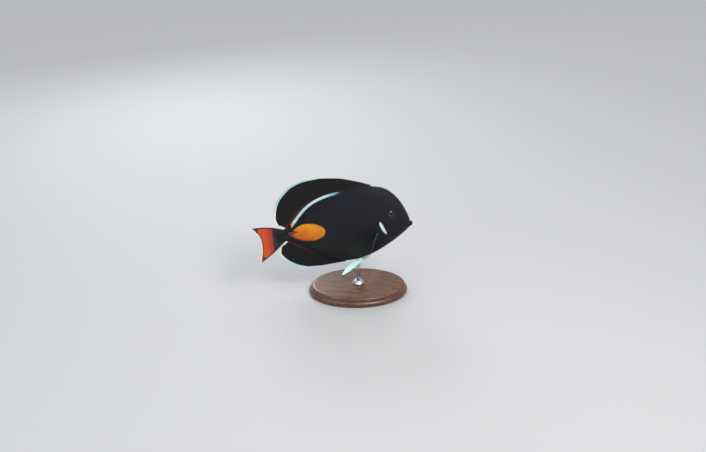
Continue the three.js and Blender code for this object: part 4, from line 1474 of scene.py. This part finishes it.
wood = Finish("walnut", roughness=0.38, coat_weight=0.25)
growth_rings = (grain(wood, (12, 90, 90), 1.4, 3) * 38.0).sine() * 0.5 + 0.5
pores = grain(wood, (60, 1400, 1400), 1.0, 2)
walnut = wood.mix(growth_rings, rgb(74, 43, 25), rgb(112, 70, 42))
walnut = wood.mix(pores * 0.55, walnut, rgb(46, 26, 15))
wood.set(base_color=walnut, normal=wood.bump(pores, 0.0001, 0.35))
base.data.materials.append(wood.material)

steel = Finish("steel", base_color=rgb(196, 198, 202), metallic=1.0)
steel.set(roughness=grain(steel, (40, 40, 6000), 1.0, 2) * 0.2 + 0.2)
for piece in (collar, rod):
    piece.data.materials.append(steel.material)
print("walnut has", len(wood.tree.nodes), "nodes and steel", len(steel.tree.nodes))

# %% [markdown]
# ## Floor and light
# The model stands on a plain pale floor, as in a small studio. A very soft light from straight above
# reaches the whole floor evenly, which one lamp close by would not. Three small lamps add the sheen
# that shows the form of black skin.

# %% Floor
REACH = 30
floor_mesh = bpy.data.meshes.new("floor")
floor_corners = [(-REACH, -REACH, 0), (REACH, -REACH, 0), (REACH, REACH, 0), (-REACH, REACH, 0)]
floor_mesh.from_pydata(floor_corners, [], [(0, 1, 2, 3)])
floor = bpy.data.objects.new("floor", floor_mesh)
bpy.context.scene.collection.objects.link(floor)
floor_paint = Paint("floor", base_color=rgb(170, 171, 173), roughness=0.7, specular_ior_level=0.2)
floor_mesh.materials.append(floor_paint.material)
floor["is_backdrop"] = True
print("floor:", 2 * REACH, "m wide")

# %% Lamps
AIM = (0, 0, 0.1)
LAMPS = {
    "key": {"at": (0.35, -0.6, 0.8), "size": 0.3, "power": 5.2, "colour": (1, 0.98, 0.95)},
    "fill": {"at": (-0.8, -0.6, 0.35), "size": 0.5, "power": 1.5, "colour": (0.93, 0.96, 1)},
    "rim": {"at": (-0.3, 0.8, 0.6), "size": 0.5, "power": 4.0, "colour": (0.95, 0.97, 1)},
}


def add_light(name, kind, energy):
    """A light of a kind, at the origin and shining down."""
    light = bpy.data.lights.new(name, kind)
    light.energy = energy
    made = bpy.data.objects.new(name, light)
    bpy.context.scene.collection.objects.link(made)
    return made


for name, lamp in LAMPS.items():
    made = add_light(name, "AREA", lamp["power"])
    made.data.size, made.data.color = lamp["size"], lamp["colour"]
    made.location = lamp["at"]
    x, y, z = np.array(AIM) - np.array(lamp["at"])
    made.rotation_euler = (math.atan2(math.hypot(x, y), -z), 0, math.atan2(-x, y))
    print(name, "lamp:", round(math.dist(lamp["at"], AIM), 2), "m from the fish")

# %% Sky
sky = add_light("sky", "SUN", 2.0)
sky.data.angle = math.radians(85)
world = bpy.data.worlds.new("studio")
world.use_nodes = True
background = world.node_tree.nodes["Background"]
background.inputs["Color"].default_value = (0.82, 0.84, 0.86, 1)
background.inputs["Strength"].default_value = 0.62
bpy.context.scene.world = world
bpy.context.scene.view_settings.view_transform = "Standard"

# %% [markdown]
# ## Camera
# The camera looks down on the fish's right side from a little behind its middle. It could be aimed
# by a constraint, but a fixed place and fixed angles keep the view when the model changes. The lens
# is a little longer than a normal one, which keeps the perspective calm.

# %% Camera
AZIMUTH, ELEVATION = math.radians(-4), math.radians(27)
CAMERA_AT = (-0.0739, -0.9603, 0.5837)
camera_data = bpy.data.cameras.new("camera")
camera_data.lens, camera_data.sensor_width = 45, 36
camera = bpy.data.objects.new("camera", camera_data)
camera.location = CAMERA_AT
camera.rotation_euler = (math.pi / 2 - ELEVATION, 0, AZIMUTH)
bpy.context.scene.collection.objects.link(camera)
bpy.context.scene.camera = camera
print("camera distance:", round(math.dist(CAMERA_AT, AIM), 3), "m")

# %% Measure and finish
final_box = [list(corner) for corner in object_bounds()]
for label, box in (("solids", cad_box), ("model", final_box)):
    print(label, "from", np.round(box[0], 4), "to", np.round(box[1], 4))
